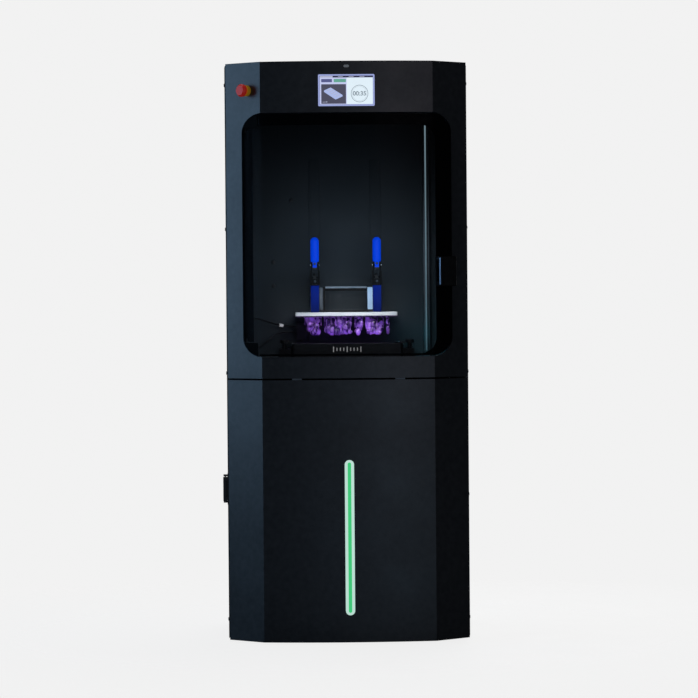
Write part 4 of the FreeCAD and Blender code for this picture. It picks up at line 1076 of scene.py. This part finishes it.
def lattice_blob(low, high, seed):
    """One printed part: an irregular, wet lump with holes, hanging off supports."""
    low = Vector(low)
    high = Vector(high)
    size = high - low
    noise = random.Random(seed)
    shape = bmesh.new()
    add_block(shape, (low.x, low.y, high.z - 0.0022), (high.x, high.y, high.z), 0.0008)
    lumps = max(8, int(size.x * size.y / 0.00006))
    for _ in range(lumps):
        reach = noise.uniform(0.0045, 0.0100)
        reach = min(reach, size.x / 2 - 0.0004, size.y / 2 - 0.0004)
        middle = Vector((noise.uniform(low.x + reach, high.x - reach),
                         noise.uniform(low.y + reach, high.y - reach),
                         noise.uniform(low.z + reach, high.z - reach)))
        made = bmesh.ops.create_icosphere(shape, subdivisions=2, radius=1.0)
        stretch = Matrix.Diagonal((reach, reach, reach * noise.uniform(1.0, 1.5), 1))
        bmesh.ops.transform(shape, matrix=Matrix.Translation(middle) @ stretch,
                            verts=made["verts"])
    step = 0.014
    columns = max(2, int(size.x / step))
    rows = max(2, int(size.y / step))
    for column in range(columns):
        for row in range(rows):
            x = low.x + 0.003 + (size.x - 0.006) * column / (columns - 1)
            y = low.y + 0.003 + (size.y - 0.006) * row / (rows - 1)
            foot = noise.uniform(low.z + 0.018, low.z + 0.040)
            add_lathe(shape, [(0.0008, 0), (0.0013, 0.003), (0.0010, high.z - foot - 0.004),
                              (0.0024, high.z - foot - 0.001)], (x, y, foot), (0, 0, 1), 8)
    return shape


def clip_to_box(mesh, low, high):
    """Moves the points outside a box onto its faces."""
    for vert in mesh.vertices:
        for axis in range(3):
            vert.co[axis] = min(max(vert.co[axis], low[axis]), high[axis])


def make_prints():
    """The printed parts hanging under the plate, where the CAD's blocks are."""
    low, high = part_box("print_job")
    spans = [(-0.126, -0.072, -0.070, -0.030), (-0.068, 0.018, -0.080, -0.020),
             (0.022, 0.050, -0.074, -0.034), (0.054, 0.112, -0.070, -0.026),
             (0.116, 0.128, -0.066, -0.040)]
    for number, (left, right, front, back) in enumerate(spans, start=1):
        foot = Vector((left, front, low.z + 0.0005))
        head = Vector((right, back, high.z - 0.0001))
        shape = lattice_blob(foot, head, 40 + number)
        item = piece(f"print_{number}", shape, "platform", RESIN)
        remesh = item.modifiers.new("merge", "REMESH")
        remesh.mode = "VOXEL"
        remesh.voxel_size = 0.0011
        remesh.use_smooth_shade = True
        soften = item.modifiers.new("soften", "SMOOTH")
        soften.factor = 0.5
        soften.iterations = 3
        bpy.context.view_layer.update()
        graph = bpy.context.evaluated_depsgraph_get()
        merged = bpy.data.meshes.new_from_object(item.evaluated_get(graph))
        item.modifiers.clear()
        item.data = merged
        clip_to_box(merged, foot, head)
        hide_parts("print_job")


# ---------------------------------------------------------------------------
# Vat
# ---------------------------------------------------------------------------
def make_vat_details():
    """The liquid resin, the level ticks and the rim's screws."""
    wall = 0.0095
    surface = bmesh.new()
    add_block(surface, (VAT_LOW.x + wall, VAT_LOW.y + 0.0205, VAT_LOW.z + 0.0018),
              (VAT_HIGH.x - wall, VAT_HIGH.y - wall, VAT_LOW.z + 0.0205), 0.0006)
    piece("vat_resin", surface, "vat", LIQUID)
    ticks = bmesh.new()
    for number in range(9):
        x = -0.040 + 0.010 * number
        tall = 0.016 if number % 4 == 0 else 0.0095
        middle = VAT_LOW.z + 0.024
        add_block(ticks, (x - 0.0013, VAT_LOW.y - 0.0004, middle - tall / 2),
                  (x + 0.0013, VAT_LOW.y + 0.0002, middle + tall / 2), 0.0002)
    piece("vat_ticks", ticks, "vat", WHITE_MARK)
    rim = bmesh.new()
    places = [(side * 0.1595, y, VAT_HIGH.z) for side in (-1, 1) for y in (-0.120, -0.02, 0.08)]
    for place in places:
        add_screw(rim, place, (0, 0, 1), 0.0030)
    piece("vat_rim_screws", rim, "vat", CHROME)


# ---------------------------------------------------------------------------
# Outside details
# ---------------------------------------------------------------------------
def make_case_details():
    """Screws of the case's outer panels."""
    side_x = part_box("right_side_panel")[1].x
    rows = (0.06, 0.42, 0.78, 1.20, 1.62)
    depths = (-0.150, 0.080, 0.315)
    for side in (-1, 1):
        name = "left_panel_screws" if side < 0 else "right_panel_screws"
        places = [(side * (side_x - 0.0002), y, z) for y in depths for z in rows]
        if side < 0:
            places = [p for p in places if p[1] > -0.1 or p[2] > 0.7 or p[2] < 0.3]
        screws(name, places, (side, 0, 0), 0.0050, "case", BLACK_PLASTIC)
    places = [(x, BACK - 0.0002, z) for x in (-0.325, 0.325) for z in (0.05, 0.45, 0.85, 1.25, 1.63)]
    places += [(x, BACK - 0.0002, z) for x in (-0.110, 0.110) for z in (0.05, 1.63)]
    screws("rear_panel_screws", places, (0, 1, 0), 0.0050, "case", CHROME)
    top_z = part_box("top_cover")[1].z
    places = [(x, y, top_z - 0.0002) for x in (-0.310, 0, 0.310) for y in (-0.140, 0.300)]
    screws("top_cover_screws", places, (0, 0, 1), 0.0050, "case", CHROME)


def make_fan_guard():
    """The wire guard on the back, over the fan's hole."""
    low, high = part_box("rear_fan_frame")
    middle = Vector(((low.x + high.x) / 2, BACK - 0.0008, (low.z + high.z) / 2))
    for number, reach in enumerate((0.012, 0.024, 0.036, 0.048, 0.0555), start=1):
        guard_ring(f"fan_guard_ring_{number}", middle, reach)
    spokes = bmesh.new()
    for number in range(4):
        turn = Matrix.Rotation(math.tau * (number + 0.5) / 4, 4, "Y")
        matrix = Matrix.Translation(middle) @ turn
        add_block(spokes, (0.010, -0.0009, -0.0009), (0.070, 0.0007, 0.0009), 0.0003, matrix)
        add_lathe(spokes, [(0.0045, 0), (0.0045, 0.0016), (0.003, 0.0024)],
                  matrix @ Vector((0.0712, -0.0010, 0)), (0, 1, 0), 20)
    piece("fan_guard_spokes", spokes, "case", CHROME)


def guard_ring(name, middle, reach):
    """One wire ring of the fan's guard."""
    shape = bmesh.new()
    around = 64
    across = 8
    loops = []
    for step in range(around):
        angle = math.tau * step / around
        loop = []
        for part in range(across):
            tilt = math.tau * part / across
            radius = reach + 0.0009 * math.cos(tilt)
            loop.append(shape.verts.new((middle.x + radius * math.cos(angle),
                                         middle.y + 0.0009 * math.sin(tilt),
                                         middle.z + radius * math.sin(angle))))
        loops.append(loop)
    for step in range(around):
        first = loops[step]
        second = loops[(step + 1) % around]
        for part in range(across):
            following = (part + 1) % across
            shape.faces.new((first[part], first[following], second[following], second[part]))
    piece(name, shape, "case", CHROME)


def make_drive_details():
    """The belt that joins the two lifting screws."""
    low, high = 0.7965, 0.8035
    reach = 0.0162
    centre = SCREW_CENTRE.x
    outer = []
    inner = []
    for side, first in ((1, -90), (-1, 90)):
        for step in range(17):
            angle = math.radians(first + 180 * step / 16)
            for points, radius in ((outer, reach + 0.0014), (inner, reach)):
                points.append((side * centre + radius * math.cos(angle),
                               SCREW_CENTRE.y + radius * math.sin(angle)))
    shape = bmesh.new()
    loops = []
    for points, z in ((outer, low), (outer, high), (inner, high), (inner, low)):
        loops.append([shape.verts.new((x, y, z)) for x, y in points])
    for first, second in zip(loops, loops[1:] + loops[:1]):
        for number in range(len(first)):
            following = (number + 1) % len(first)
            shape.faces.new((first[number], first[following],
                             second[following], second[number]))
    piece("screw_belt", shape, "case", RUBBER)


def make_screw_threads():
    """A raised thread along each lifting screw."""
    for name, centre in (("left", -SCREW_CENTRE.x), ("right", SCREW_CENTRE.x)):
        shape = bmesh.new()
        pitch = 0.004
        bottom, top = 0.872, 1.528
        around = 16
        turns = int((top - bottom) / pitch)
        loops = []
        for step in range(turns * around + 1):
            angle = math.tau * step / around
            z = bottom + pitch * step / around
            loop = []
            for radius, rise in ((0.00795, -0.0011), (0.0088, -0.0005),
                                 (0.0088, 0.0005), (0.00795, 0.0011)):
                loop.append(shape.verts.new((centre + radius * math.cos(angle),
                                             SCREW_CENTRE.y + radius * math.sin(angle), z + rise)))
            loops.append(loop)
        for first, second in zip(loops, loops[1:]):
            for part in range(4):
                following = (part + 1) % 4
                shape.faces.new((first[part], first[following],
                                 second[following], second[part]))
        shape.faces.new(loops[0])
        shape.faces.new(loops[-1][::-1])
        piece(f"screw_thread_{name}", shape, f"{name}_screw", RAIL)


def make_seals():
    """Rubber seals between the base plate and the side panels."""
    low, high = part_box("base_plate")
    panel_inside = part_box("right_side_panel")[1].x - 0.0024
    for name, side in (("left", -1), ("right", 1)):
        edges = sorted((side * (high.x + 0.0002), side * panel_inside))
        shape = block((edges[0], low.y + 0.016, low.z + 0.001),
                      (edges[1], high.y - 0.010, high.z - 0.001), 0.0006)
        piece(f"base_seal_{name}", shape, "case", RUBBER)


def make_door_details():
    """The housing of the light bar's lamps, on the inside of the lower door."""
    low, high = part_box("light_bar_diffuser")
    housing = block((low.x - 0.006, high.y + 0.0002, low.z - 0.006),
                    (high.x + 0.006, high.y + 0.014, high.z + 0.006), 0.002)
    piece("light_bar_housing", housing, "lower_door", STEEL_BLACK)
    places = [(0, high.y + 0.0141, low.z + share * (high.z - low.z))
              for share in (0.02, 0.35, 0.65, 0.98)]
    screws("housing_screws", places, (0, 1, 0), 0.0035, "lower_door", CHROME)


def make_box_vents():
    """Vent slats and lid screws on the control boxes."""
    low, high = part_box("control_boxes")
    faces = (("large_box", 0.040, high.x, low.y, high.z), ("small_box", low.x, -0.060, 0.040, 0.180))
    for name, left, right, face, top in faces:
        slats = bmesh.new()
        middle = (left + right) / 2
        for number in range(7):
            z = low.z + 0.030 + 0.009 * number
            add_block(slats, (middle - 0.055, face - 0.0012, z),
                      (middle + 0.055, face + 0.0002, z + 0.004), 0.0005)
        piece(f"{name}_vents", slats, "case", BLACK_PLASTIC)
        places = [(x, face, z) for x in (left + 0.012, right - 0.012)
                  for z in (low.z + 0.012, top - 0.012)]
        screws(f"{name}_screws", places, (0, -1, 0), 0.0040, "case", CHROME)


def make_cabinet_details():
    """The ribs round the resin bottle."""
    low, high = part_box("resin_bottle")
    middle = (low + high) / 2
    ribs = bmesh.new()
    for number in range(5):
        z = low.z + 0.030 + 0.006 * number
        add_lathe(ribs, [(0.0695, 0), (0.0706, 0.0008), (0.0706, 0.0022), (0.0695, 0.0030)],
                  (middle.x, middle.y, z), (0, 0, 1), 64)
    bottle = NODE_MATERIALS["resin_bottle"]
    piece("bottle_ribs", ribs, "case", bottle)


dress_nodes()
make_camera()
make_leads()
make_lights()
make_world()
make_floor()
make_screen()
make_stop_details()
make_window_details()
make_chamber_details()
make_lever("left")
make_lever("right")
make_frame_faces()
make_clamp_details()
make_prints()
make_vat_details()
make_case_details()
make_fan_guard()
make_drive_details()
make_screw_threads()
make_cabinet_details()
make_seals()
make_door_details()
make_box_vents()
